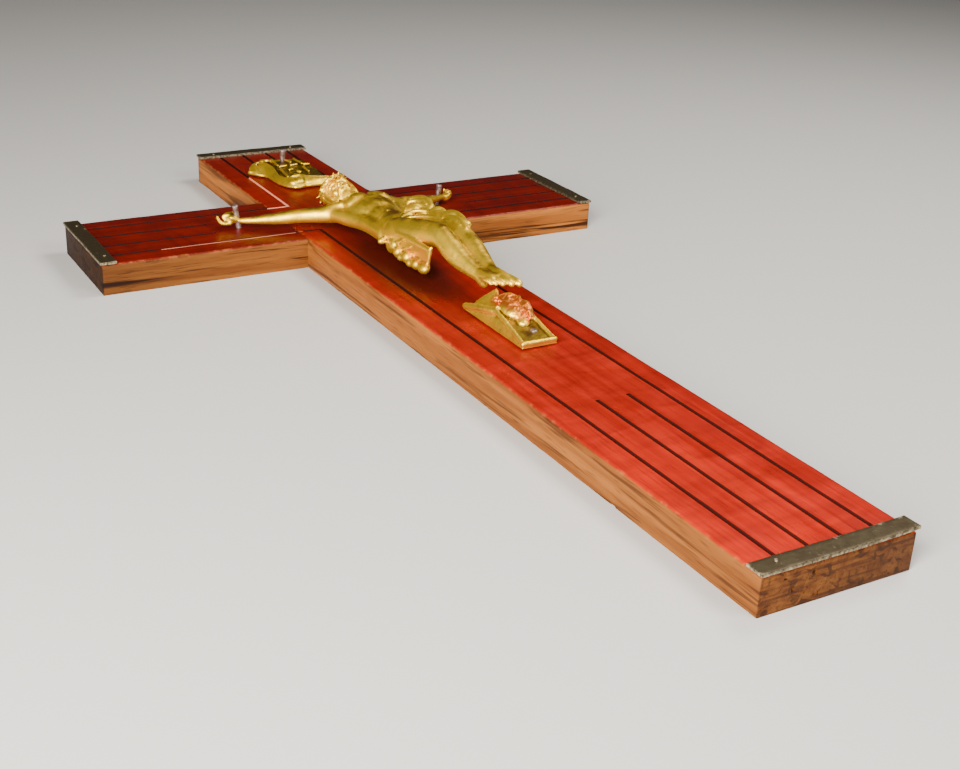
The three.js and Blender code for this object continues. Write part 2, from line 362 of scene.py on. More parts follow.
def maths(tree, operation, first, second=0.5, clamp=False):
    node = add_node(tree, "ShaderNodeMath", operation=operation, use_clamp=clamp)
    for index, value in enumerate((first, second)):
        if isinstance(value, bpy.types.NodeSocket):
            tree.links.new(value, node.inputs[index])
        else:
            node.inputs[index].default_value = value
    return node.outputs[0]


def remap(tree, value, low, high, to_low=0.0, to_high=1.0):
    node = add_node(tree, "ShaderNodeMapRange", {
        "Value": value, "From Min": low, "From Max": high, "To Min": to_low, "To Max": to_high,
    })
    return node.outputs[0]


def noise_over(tree, coordinates, scale, detail=2.0, **inputs):
    """Noise that stays put on the piece, about scale bumps to the metre."""
    return add_node(tree, "ShaderNodeTexNoise", {
        "Vector": coordinates.outputs["Object"], "Scale": scale, "Detail": detail, **inputs,
    }).outputs[0]


def tint(tree, base, colour, mask, strength):
    """Lays a colour over the base where the mask is bright, and no more than strength."""
    return mix_colour(tree, maths(tree, "MULTIPLY", mask, strength), base, colour)


def shaded(tree, base, shade):
    return mix_colour(tree, 1.0, base, shade, "MULTIPLY")


def new_finish(name):
    """A new material, with its node tree, its shader and the piece's own coordinates."""
    material = bpy.data.materials.new(name)
    material.use_nodes = True
    tree = material.node_tree
    return material, tree, tree.nodes["Principled BSDF"], add_node(tree, "ShaderNodeTexCoord")


def roughen(tree, shader, height, strength, depth):
    """Bump over the whole piece; depth is the height of full white."""
    bump = add_node(tree, "ShaderNodeBump", {"Strength": strength, "Distance": depth, "Height": height})
    tree.links.new(bump.outputs[0], shader.inputs["Normal"])


def new_group(name, inputs, outputs):
    group = bpy.data.node_groups.new(name, "ShaderNodeTree")
    for socket_name, socket_type, value in inputs:
        socket = group.interface.new_socket(socket_name, in_out="INPUT", socket_type=socket_type)
        if value is not None:
            socket.default_value = value
    for socket_name, socket_type in outputs:
        group.interface.new_socket(socket_name, in_out="OUTPUT", socket_type=socket_type)
    return group, group.nodes.new("NodeGroupInput"), group.nodes.new("NodeGroupOutput")


def place_group(tree, group, **inputs):
    return add_node(tree, "ShaderNodeGroup", {key.replace("_", " "): value for key, value in inputs.items()},
                    node_tree=group)


# Wood grain that runs along the first axis of its vector: broad streaks, fine dark pores and a
# slow ripple across the grain.
wood_grain, grain_in, grain_out = new_group(
    "wood_grain",
    [("Vector", "NodeSocketVector", None)],
    [("Streaks", "NodeSocketFloat"), ("Pores", "NodeSocketFloat"), ("Ripple", "NodeSocketFloat"),
     ("Dark Lines", "NodeSocketFloat")],
)
stretched = add_node(wood_grain, "ShaderNodeVectorMath", {0: grain_in.outputs["Vector"], 1: (14, 420, 420)},
                     operation="MULTIPLY")
streak_noise = add_node(wood_grain, "ShaderNodeTexNoise",
                        {"Vector": stretched.outputs[0], "Scale": 1.0, "Detail": 5, "Distortion": 0.6})
wood_grain.links.new(remap(wood_grain, streak_noise.outputs[0], 0.35, 0.68), grain_out.inputs["Streaks"])
fine = add_node(wood_grain, "ShaderNodeVectorMath", {0: grain_in.outputs["Vector"], 1: (130, 2600, 2600)},
                operation="MULTIPLY")
pore_noise = add_node(wood_grain, "ShaderNodeTexNoise",
                      {"Vector": fine.outputs[0], "Scale": 1.0, "Detail": 2, "Distortion": 0.2})
wood_grain.links.new(remap(wood_grain, pore_noise.outputs[0], 0.56, 0.72), grain_out.inputs["Pores"])
across_grain = add_node(wood_grain, "ShaderNodeVectorMath",
                        {0: grain_in.outputs["Vector"], 1: (150, 55, 55)},
                        operation="MULTIPLY")
ripple_noise = add_node(wood_grain, "ShaderNodeTexNoise",
                        {"Vector": across_grain.outputs[0], "Scale": 1.0, "Detail": 3, "Distortion": 0.9})
wood_grain.links.new(remap(wood_grain, ripple_noise.outputs[0], 0.33, 0.7), grain_out.inputs["Ripple"])
line_vector = add_node(wood_grain, "ShaderNodeVectorMath",
                       {0: grain_in.outputs["Vector"], 1: (17, 300, 430)},
                       operation="MULTIPLY")
line_noise = add_node(wood_grain, "ShaderNodeTexNoise",
                      {"Vector": line_vector.outputs[0], "Scale": 1.0, "Detail": 3, "Distortion": 1.2})
wood_grain.links.new(remap(wood_grain, line_noise.outputs[0], 0.54, 0.62), grain_out.inputs["Dark Lines"])

# Rubbed edges: bright where the surface is sharply convex, broken up by a fine noise. The gilding also uses
# this mask for a painted highlight.
edge_wear, wear_in, wear_out = new_group(
    "edge_wear",
    [("Low", "NodeSocketFloat", 0.52), ("High", "NodeSocketFloat", 0.6),
     ("Grain", "NodeSocketFloat", 900.0)],
    [("Mask", "NodeSocketFloat"), ("Hollow", "NodeSocketFloat")],
)
wear_geometry = add_node(edge_wear, "ShaderNodeNewGeometry")
wear_coordinates = add_node(edge_wear, "ShaderNodeTexCoord")
wear_noise = add_node(edge_wear, "ShaderNodeTexNoise",
                      {"Vector": wear_coordinates.outputs["Object"], "Scale": wear_in.outputs["Grain"],
                       "Detail": 3})
sharpness = add_node(edge_wear, "ShaderNodeMapRange", {
    "Value": wear_geometry.outputs["Pointiness"],
    "From Min": wear_in.outputs["Low"], "From Max": wear_in.outputs["High"],
})
broken = remap(edge_wear, wear_noise.outputs[0], 0.35, 0.65)
edge_wear.links.new(maths(edge_wear, "MULTIPLY", sharpness.outputs[0], broken, clamp=True),
                    wear_out.inputs["Mask"])
hollow = remap(edge_wear, wear_geometry.outputs["Pointiness"], 0.5, 0.42)
edge_wear.links.new(hollow, wear_out.inputs["Hollow"])


def inside_box(tree, place, low, high, soft):
    """1 inside a box of x and y, fading in over soft; place holds a separated position."""
    mask = 1.0
    for axis in (0, 1):
        mask = maths(tree, "MULTIPLY", mask, remap(tree, place.outputs[axis], low[axis], low[axis] + soft))
        mask = maths(tree, "MULTIPLY", mask, remap(tree, place.outputs[axis], high[axis], high[axis] - soft))
    return mask


def board_finish(name, along, side_dark, face_painted_light, side_painted_light, end_shade):
    """Red stain and varnish on the face, bare grain on the sides, dirt and painted shade in the grooves.

    Painted light: the stain and the bare sides lighten towards one end of the board and darken towards
    the other by the face and side pairs. The end grain is darker by end_shade. A painted shadow darkens
    the face around and below the figure, and a pale painted highlight lies along a few groove walls."""
    material, tree, shader, coordinates = new_finish(name)
    place = add_node(tree, "ShaderNodeSeparateXYZ", {0: coordinates.outputs["Object"]})
    normal = add_node(tree, "ShaderNodeSeparateXYZ", {0: coordinates.outputs["Normal"]})
    order = (1, 0, 2) if along == 1 else (0, 1, 2)
    turned = add_node(tree, "ShaderNodeCombineXYZ", {
        0: place.outputs[order[0]], 1: place.outputs[order[1]], 2: place.outputs[order[2]],
    })
    grain = place_group(tree, wood_grain, Vector=turned.outputs[0])

    red_deep = (0.10, 0.006, 0.003, 1)
    red_mid = (0.36, 0.010, 0.003, 1)
    red_light = (0.64, 0.028, 0.006, 1)
    face_colour = tint(tree, red_mid, red_light, grain.outputs["Streaks"], 0.55)
    face_colour = tint(tree, face_colour, red_deep, grain.outputs["Ripple"], 0.45)
    face_colour = tint(tree, face_colour, red_deep, grain.outputs["Pores"], 0.35)
    painted_shadow_colour = (0.045, 0.006, 0.004, 1)
    rubbed_wood = (0.40, 0.12, 0.035, 1)
    groove_dirt_and_shade = (0.010, 0.003, 0.002, 1)
    painted_glint_colour = (1.0, 0.36, 0.22, 1)
    half_run = length / 2 if along == 1 else width / 2
    run = place.outputs[along]
    # Painted light: the stained face is lighter at one end of the board and darker at the other.
    face_colour = shaded(tree, face_colour, remap(tree, run, -half_run, half_run, *face_painted_light))

    side_light = (0.58, 0.20, 0.035, 1)
    side_mid = (0.33, 0.095, 0.015, 1)
    side_deep = (0.055, 0.014, 0.004, 1)
    side_colour = mix_colour(tree, grain.outputs["Streaks"], side_mid, side_light)
    lines = maths(tree, "MULTIPLY", grain.outputs["Dark Lines"], side_dark)
    side_colour = mix_colour(tree, lines, side_colour, side_deep)
    side_colour = tint(tree, side_colour, side_deep, grain.outputs["Pores"], 0.6)
    # Painted light: the bare sides too are lighter at one end and darker at the other.
    side_colour = shaded(tree, side_colour, remap(tree, run, -half_run, half_run, *side_painted_light))
    at_end = remap(tree, maths(tree, "ABSOLUTE", run), half_run - 0.3 * MM, half_run - 0.1 * MM)
    ring_vector = add_node(tree, "ShaderNodeVectorMath",
                           {0: coordinates.outputs["Object"], 1: (70, 70, 1100)},
                           operation="MULTIPLY")
    rings = add_node(tree, "ShaderNodeTexNoise", {"Vector": ring_vector.outputs[0], "Scale": 1.0,
                                                  "Detail": 3})
    ring_lines = maths(tree, "MULTIPLY", remap(tree, rings.outputs[0], 0.45, 0.62, 0, 0.75), at_end)
    side_colour = mix_colour(tree, ring_lines, side_colour, side_deep)
    end_grain = remap(tree, at_end, 0, 1, 1.0, end_shade)
    side_colour = shaded(tree, side_colour, end_grain)

    soft_edge = noise_over(tree, coordinates, 350.0)
    level = maths(tree, "ADD", place.outputs[2], maths(tree, "MULTIPLY", soft_edge, 0.5 * MM))
    high_enough = remap(tree, level, 8.35 * MM, 8.75 * MM)
    facing_up = remap(tree, normal.outputs[2], 0.35, 0.75)
    off_centre = maths(tree, "ABSOLUTE", maths(tree, "SUBTRACT", place.outputs[order[1]],
                                               crossbar_y * (1 - along)))
    inside_face = remap(tree, off_centre, half_board - 1.3 * MM, half_board - 1.6 * MM)
    inside_face = maths(tree, "MULTIPLY", inside_face, maths(tree, "SUBTRACT", 1.0, at_end))
    stained = maths(tree, "MAXIMUM", maths(tree, "MINIMUM", high_enough, facing_up),
                    maths(tree, "MULTIPLY", inside_face, remap(tree, place.outputs[2], 7.6 * MM, 8.0 * MM)))
    groove_wall = maths(tree, "MAXIMUM", remap(tree, place.outputs[2], 8.86 * MM, 8.76 * MM),
                        remap(tree, normal.outputs[2], 0.9, 0.75))
    groove = maths(tree, "MULTIPLY", groove_wall, inside_face)
    groove = maths(tree, "MULTIPLY", groove, remap(tree, place.outputs[2], 7.5 * MM, 7.8 * MM))

    # Painted shadow: a soft oval around and below the figure darkens the stained face, where the figure's
    # shadow falls.
    from_figure = add_node(tree, "ShaderNodeVectorMath", {0: coordinates.outputs["Object"], 1: painted_shadow_centre},
                           operation="SUBTRACT")
    from_figure = add_node(tree, "ShaderNodeVectorMath", {0: from_figure.outputs[0], 1: painted_shadow_radii},
                           operation="DIVIDE")
    from_figure = add_node(tree, "ShaderNodeVectorMath", {0: from_figure.outputs[0]}, operation="LENGTH")
    painted_shadow_mask = remap(tree, from_figure.outputs["Value"], 1.25, 0.6)
    face_colour = tint(tree, face_colour, painted_shadow_colour, painted_shadow_mask, 0.85)
    colour = mix_colour(tree, stained, side_colour, face_colour)
    chips = noise_over(tree, coordinates, 420.0, 5, Roughness=0.7)
    near_edge = remap(tree, off_centre, half_board - 0.75 * MM, half_board - 0.3 * MM)
    on_round = maths(tree, "MULTIPLY", near_edge, remap(tree, place.outputs[2], 8.1 * MM, 8.6 * MM))
    rubbed = maths(tree, "MULTIPLY", on_round, remap(tree, chips, 0.50, 0.62))
    colour = tint(tree, colour, rubbed_wood, rubbed, 0.5)
    # Dirt and painted shade: the groove walls and floors are darkened almost to black.
    colour = tint(tree, colour, groove_dirt_and_shade, groove, 0.93)
    # Painted highlight: pale pink along the listed stretches of groove wall.
    painted_glint = 0.0
    for low, high in painted_glint_runs:
        painted_glint = maths(tree, "MAXIMUM", painted_glint, inside_box(tree, place, low, high, 0.1 * MM))
    painted_glint = maths(tree, "MULTIPLY", painted_glint, remap(tree, place.outputs[2], 8.0 * MM, 8.2 * MM))
    colour = tint(tree, colour, painted_glint_colour, painted_glint, 0.9)
    tree.links.new(colour, shader.inputs["Base Color"])

    smear = noise_over(tree, coordinates, 70.0, 4)
    gloss = remap(tree, smear, 0.3, 0.7, 0.24, 0.42)
    rough = add_node(tree, "ShaderNodeMix", {"Factor": stained, 2: 0.62, 3: gloss}, data_type="FLOAT")
    in_groove = add_node(tree, "ShaderNodeMix", {"Factor": groove, 2: rough.outputs[0], 3: 0.9},
                         data_type="FLOAT")
    tree.links.new(in_groove.outputs[0], shader.inputs["Roughness"])
    shader.inputs["Specular IOR Level"].default_value = 0.14
    relief = maths(tree, "ADD", maths(tree, "MULTIPLY", grain.outputs["Streaks"], 0.4),
                   maths(tree, "MULTIPLY", grain.outputs["Pores"], -1.0))
    relief = maths(tree, "ADD", relief, maths(tree, "MULTIPLY", grain.outputs["Ripple"], 0.5))
    roughen(tree, shader, relief, 0.35, 0.12 * MM)
    return material


def hand_in(obj, name, material, slot, *nodes):
    """Names the finished piece, gives it its material and ties it to the frame."""
    only(obj)
    bpy.ops.object.shade_smooth_by_angle(angle=math.radians(35))
    obj.name = name
    obj.data.name = name
    obj.data.materials.clear()
    obj.data.materials.append(material)
    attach(obj, "root")
    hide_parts(*nodes)


upright_low = (-half_board, -length / 2, 0)
upright_high = (half_board, length / 2, board_thickness)
hole_depth = 1.5 * MM
upright = planed_board("upright", upright_low, upright_high, 1)
lap = add_block((-half_board - 1 * MM, crossbar_y - half_board, -1 * MM),
                (half_board + 1 * MM, crossbar_y + half_board, board_thickness / 2))
square_up_crossing(upright)
cut_away(upright, [lap] + groove_cutters())
cut_away(upright, edge_nicks([
    (-19.3, -20, 8.9, 0.5), (-19.4, -104, 0.1, 0.7), (-19.3, -128, 8.8, 0.45), (19.4, -60, 9.0, 0.5),
    (-19.4, 31, 0.2, 0.6), (19.3, 110, 8.9, 0.6), (-19.4, 118, 8.8, 0.5),
]))
end_holes = []
for x, z, hole_width, hole_height in ((-11.3, 4.2, 0.3, 0.75), (-8.2, 2.7, 0.3, 0.35),
                                      (-5.7, 1.5, 0.28, 0.4),
                                      (-4.7, 1.6, 0.3, 0.6), (-6.3, 6.6, 0.55, 0.5), (-13.4, 6.9, 0.5, 0.2)):
    bpy.ops.object.select_all(action="DESELECT")
    bpy.ops.mesh.primitive_cylinder_add(vertices=10, radius=1, depth=1, rotation=(math.pi / 2, 0, 0),
                                        location=(x * MM, -length / 2, z * MM))
    hole = bpy.context.object
    hole.scale = (hole_width * MM, hole_height * MM, 2 * hole_depth)
    bpy.ops.object.transform_apply(location=True, rotation=True, scale=True)
    end_holes.append(hole)
cut_away(upright, end_holes)
# Painted light: the face and side pairs lighten and darken the stain and the bare sides from the foot of the
# upright to its top.
upright_finish = board_finish("upright_finish", 1, 0.7, (1.02, 0.42), (0.42, 0.80), 0.62)
hand_in(upright, "upright", upright_finish, "stained_wood", "upright_board")


# ---------------------------------------------------------------- crossbar
# The short board, of the same stock and finish, halved on its face where the upright crosses it,
# and glued. Its bare sides have bolder dark grain than the upright's.

crossbar_low = (-width / 2, crossbar_y - half_board, 0)
crossbar_high = (width / 2, crossbar_y + half_board, board_thickness)
crossbar = planed_board("crossbar", crossbar_low, crossbar_high, 0)
lap = add_block((-half_board, crossbar_y - half_board - 1 * MM, board_thickness / 2),
                (half_board, crossbar_y + half_board + 1 * MM, board_thickness + 2 * MM))
cut_away(crossbar, [lap] + groove_cutters())
cut_away(crossbar, edge_nicks([
    (-57, 53.9, 8.6, 0.8), (-61, 53.8, 8.8, 0.5), (-79.9, 70, 0.2, 0.7), (66, 53.8, 8.9, 0.5),
    (44, 92.4, 8.9, 0.5),
]))
# Painted light: the whole stained face of the crossbar is darkened evenly, and its bare sides are darkest at
# the left end and lighter towards the right.
crossbar_finish = board_finish("crossbar_finish", 0, 1.0, (0.33, 0.33), (0.21, 0.9), 0.3)
hand_in(crossbar, "crossbar", crossbar_finish, "stained_wood", "crossbar_board")


# ---------------------------------------------------------------- end strips and brads
# A dull, tarnished metal strip lies across the face at each end of the cross and covers the ends
# of the grooves. Each was cut with snips, filed square by hand and pinned with two tiny brads.

strip_width = 4.6 * MM
strip_thickness = 0.9 * MM
strip_overhang = 0.4 * MM


def strip_finish():
    material, tree, shader, coordinates = new_finish("tarnished_strip")
    metal_dark = (0.050, 0.034, 0.015, 1)
    metal_light = (0.075, 0.058, 0.028, 1)
    metal_rubbed = (0.62, 0.52, 0.34, 1)
    metal_dirt = (0.015, 0.012, 0.008, 1)
    metal_specks = (0.22, 0.17, 0.10, 1)
    blotch = noise_over(tree, coordinates, 260.0, 6, Roughness=0.65)
    spots = noise_over(tree, coordinates, 1500.0, 3)
    wear = place_group(tree, edge_wear, Low=0.52, High=0.58, Grain=1500.0)
    colour = mix_colour(tree, remap(tree, blotch, 0.35, 0.68), metal_dark, metal_light)
    colour = mix_colour(tree, remap(tree, spots, 0.62, 0.75, 0, 0.5), colour, metal_specks)
    colour = tint(tree, colour, metal_dirt, wear.outputs["Hollow"], 0.6)
    colour = tint(tree, colour, metal_rubbed, wear.outputs["Mask"], 0.8)
    tree.links.new(colour, shader.inputs["Base Color"])
    shader.inputs["Metallic"].default_value = 0.75
    tree.links.new(remap(tree, blotch, 0.3, 0.7, 0.62, 0.42), shader.inputs["Roughness"])
    roughen(tree, shader, spots, 0.5, 0.08 * MM)
    return material


def filed_strip(end):
    """One strip, made along X at the origin, dented and trimmed unevenly, then turned to its end."""
    long_half = half_board + strip_overhang
    bottom = face_z + 0.02 * MM
    strip = add_block((-long_half, 0, bottom), (long_half, strip_width, bottom + strip_thickness))
    select_edges(strip, lambda point: point.z > bottom)
    bpy.ops.mesh.bevel(offset=0.22 * MM, segments=3, affect="EDGES")
    cut_step = 0.9 * MM
    for axis, reach in ((0, long_half), (1, strip_width)):
        place_along = -reach + cut_step
        while place_along < reach:
            place = [0, 0, 0]
            normal = [0, 0, 0]
            place[axis] = place_along
            normal[axis] = 1
            bpy.ops.mesh.select_all(action="SELECT")
            bpy.ops.mesh.bisect(plane_co=place, plane_no=normal)
            place_along += cut_step
    bpy.ops.object.mode_set(mode="OBJECT")
    seed = {"foot": 0, "top": 40, "left": 80, "right": 120}[end]
    for vertex in strip.data.vertices:
        point = vertex.co
        wobble = noise.noise_vector(Vector((point.x * 150 + seed, point.y * 150, point.z * 60)))
        slow = noise.noise(Vector((point.x * 45 + seed, 0, 0)))
        inward = -1 if point.y > strip_width / 2 else 1
        point.y += inward * abs(wobble.y) * 0.22 * MM
        point.x += (-1 if point.x > 0 else 1) * abs(wobble.x) * 0.12 * MM
        if point.z > bottom + 0.3 * MM:
            point.z += (wobble.z * 0.07 + slow * 0.08 - 0.1) * MM
        if end == "foot" and point.x > 4 * MM:
            point.z += ((point.x - 4 * MM) / long_half) ** 1.5 * 0.55 * MM
    turns = {"foot": (0, -length / 2 - strip_overhang), "top": (math.pi, length / 2 + strip_overhang)}
    if end in turns:
        turn, end_y = turns[end]
        strip.data.transform(Matrix.Translation((0, end_y, 0)) @ Matrix.Rotation(turn, 4, "Z"))
    else:
        turn, end_x = (-math.pi / 2, -width / 2 - strip_overhang) if end == "left" else (
            math.pi / 2, width / 2 + strip_overhang)
        strip.data.transform(Matrix.Translation((end_x, crossbar_y, 0)) @ Matrix.Rotation(turn, 4, "Z"))
    return strip


def brad_head(low, high):
    """A pin clipped and filed almost flush, a little out of round."""
    middle = (Vector(low) + Vector(high)) / 2
    top = high[2] - 0.02 * MM
    bottom = low[2]
    bpy.ops.object.select_all(action="DESELECT")
    bpy.ops.mesh.primitive_cylinder_add(vertices=20, radius=0.42 * MM, depth=top - bottom,
                                        location=(middle.x, middle.y, (top + bottom) / 2))
    brad = bpy.context.object
    bpy.ops.object.transform_apply(location=True, rotation=True, scale=True)
    select_edges(brad, lambda point: point.z > top - 0.01 * MM)
    bpy.ops.mesh.bevel(offset=0.14 * MM, segments=3, affect="EDGES")
    bpy.ops.object.mode_set(mode="OBJECT")
    for vertex in brad.data.vertices:
        vertex.co += noise.noise_vector(vertex.co * 1800) * 0.05 * MM
    return brad


strip_metal = strip_finish()
for strip_end in ("foot", "top", "left", "right"):
    hand_in(filed_strip(strip_end), f"strip_{strip_end}", strip_metal, "tarnished_strip",
            f"end_strip_{strip_end}")
    for number in (1, 2):
        cad_brad = f"strip_brad_{strip_end}_{number}"
        hand_in(brad_head(*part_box(cad_brad)), f"brad_{strip_end}_{number}", strip_metal, "brad_metal",
                cad_brad)


# ---------------------------------------------------------------- nails
# Plain wire nails, driven through the castings into the wood and left standing proud, browned
# by age, their ends flattened and burred by the hammer.

nail_radius = 0.82 * MM


def nail_finish():
    material, tree, shader, coordinates = new_finish("browned_nail")
    steel_dark = (0.13, 0.070, 0.065, 1)
    steel_light = (0.34, 0.24, 0.235, 1)
    steel_rubbed = (0.80, 0.62, 0.58, 1)
    bloom = noise_over(tree, coordinates, 700.0, 5)
    wear = place_group(tree, edge_wear, Low=0.51, High=0.56, Grain=2500.0)
    colour = mix_colour(tree, remap(tree, bloom, 0.35, 0.65), steel_dark, steel_light)
    colour = tint(tree, colour, steel_rubbed, wear.outputs["Mask"], 0.9)
    tree.links.new(colour, shader.inputs["Base Color"])
    shader.inputs["Metallic"].default_value = 0.8
    tree.links.new(remap(tree, bloom, 0.3, 0.7, 0.36, 0.58), shader.inputs["Roughness"])
    roughen(tree, shader, bloom, 0.4, 0.08 * MM)
    return material


def wire_nail(foot, tip):
    """A nail from its buried point to its hammered end, both in millimetres."""
    foot_point = Vector(foot) * MM
    tip_point = Vector(tip) * MM
    run = tip_point - foot_point
    bpy.ops.object.select_all(action="DESELECT")
    bpy.ops.mesh.primitive_cylinder_add(vertices=24, radius=nail_radius, depth=run.length)
    nail = bpy.context.object
    half = run.length / 2
    select_edges(nail, lambda point: point.z > half - 0.01 * MM)
    bpy.ops.mesh.bevel(offset=0.3 * MM, segments=3, affect="EDGES")
    for share in range(1, 16):
        bpy.ops.mesh.select_all(action="SELECT")
        bpy.ops.mesh.bisect(plane_co=(0, 0, -half + run.length * share / 16), plane_no=(0, 0, 1))
    bpy.ops.object.mode_set(mode="OBJECT")
    for vertex in nail.data.vertices:
        point = vertex.co
        from_foot = point.z + half
        taper = min(1, 0.12 + from_foot / (2.2 * MM))
        burr = 1 + 0.16 * max(0, (point.z - half + 0.9 * MM) / (0.9 * MM))
        point.x *= taper * burr
        point.y *= taper * burr
        shift = noise.noise_vector(Vector((point.x * 900, point.y * 900, point.z * 500)))
        point += Vector((shift.x * 0.07, shift.y * 0.07, shift.z * 0.04)) * MM
    nail.data.transform(run.to_track_quat("Z", "Y").to_matrix().to_4x4())
    nail.data.transform(Matrix.Translation((foot_point + tip_point) / 2))
    return nail


nail_steel = nail_finish()
nail_places = {
    "hand_nail_left": ((-33.18, 71.2, 3.8), (-35.1, 71.2, 15.95)),
    "hand_nail_right": ((31.37, 70.4, 3.8), (32.99, 70.4, 15.35)),
    "titulus_nail": ((3.0, 127.3, 3.6), (3.0, 127.3, 15.1)),
    "foot_rest_nail": ((1.4, -38.5, 3.6), (1.4, -38.5, 11.6)),
}
for nail_node, (nail_foot, nail_tip) in nail_places.items():
    hand_in(wire_nail(nail_foot, nail_tip), nail_node.replace("nail", "wire_nail"), nail_steel,
            "nail_steel", nail_node)


# ---------------------------------------------------------------- title scroll
# A small parchment cast in white metal or bronze and gilded: a thin plate in a shallow wave, its
# near corner curled out like an ear, its low corner rolled, with raised strokes on a dark field.


def ball(centre, radii, turn=(0, 0, 0), detail=24):
    """An egg shape; centre is (x, y, height above the board's face), all in millimetres."""
    bpy.ops.object.select_all(action="DESELECT")
    bpy.ops.mesh.primitive_uv_sphere_add(segments=detail, ring_count=detail // 2, radius=1)
    egg = bpy.context.object
    egg.scale = [radius * MM for radius in radii]
    egg.rotation_euler = [math.radians(angle) for angle in turn]
    egg.location = (centre[0] * MM, centre[1] * MM, face_z + centre[2] * MM)
    bpy.ops.object.transform_apply(location=True, rotation=True, scale=True)
    return egg


def rod(stations, sides=6):
    """A round rod through stations of (x, y, height above the face, radius), with round ends."""
    curve = bpy.data.curves.new("rod", "CURVE")
    curve.dimensions = "3D"
    curve.bevel_depth = 1.0
    curve.bevel_resolution = sides
    curve.resolution_u = 5
    curve.use_fill_caps = True
    spline = curve.splines.new("NURBS")
    spline.points.add(len(stations) - 1)
    for point, (x, y, height, radius) in zip(spline.points, stations):
        point.co = (x * MM, y * MM, face_z + height * MM, 1)
        point.radius = radius * MM
    spline.order_u = 3
    spline.use_endpoint_u = True
    rod_object = bpy.data.objects.new("rod", curve)
    bpy.context.collection.objects.link(rod_object)
    only(rod_object)
    bpy.ops.object.convert(target="MESH")
    tube = bpy.context.object
    ends = []
    for x, y, height, radius in (stations[0], stations[-1]):
        if radius > 0.25:
            ends.append(ball((x, y, height), (radius * 0.98,) * 3, detail=14))
    return joined([tube] + ends, "rod")


def fuse(pieces, name, voxel, rounds):
    """Runs the pieces together as one casting and softens the joins."""
    whole = joined(pieces, name)
    apply_modifier(whole, "REMESH", mode="VOXEL", voxel_size=voxel, adaptivity=0)
    apply_modifier(whole, "SMOOTH", factor=0.5, iterations=rounds)
    return whole


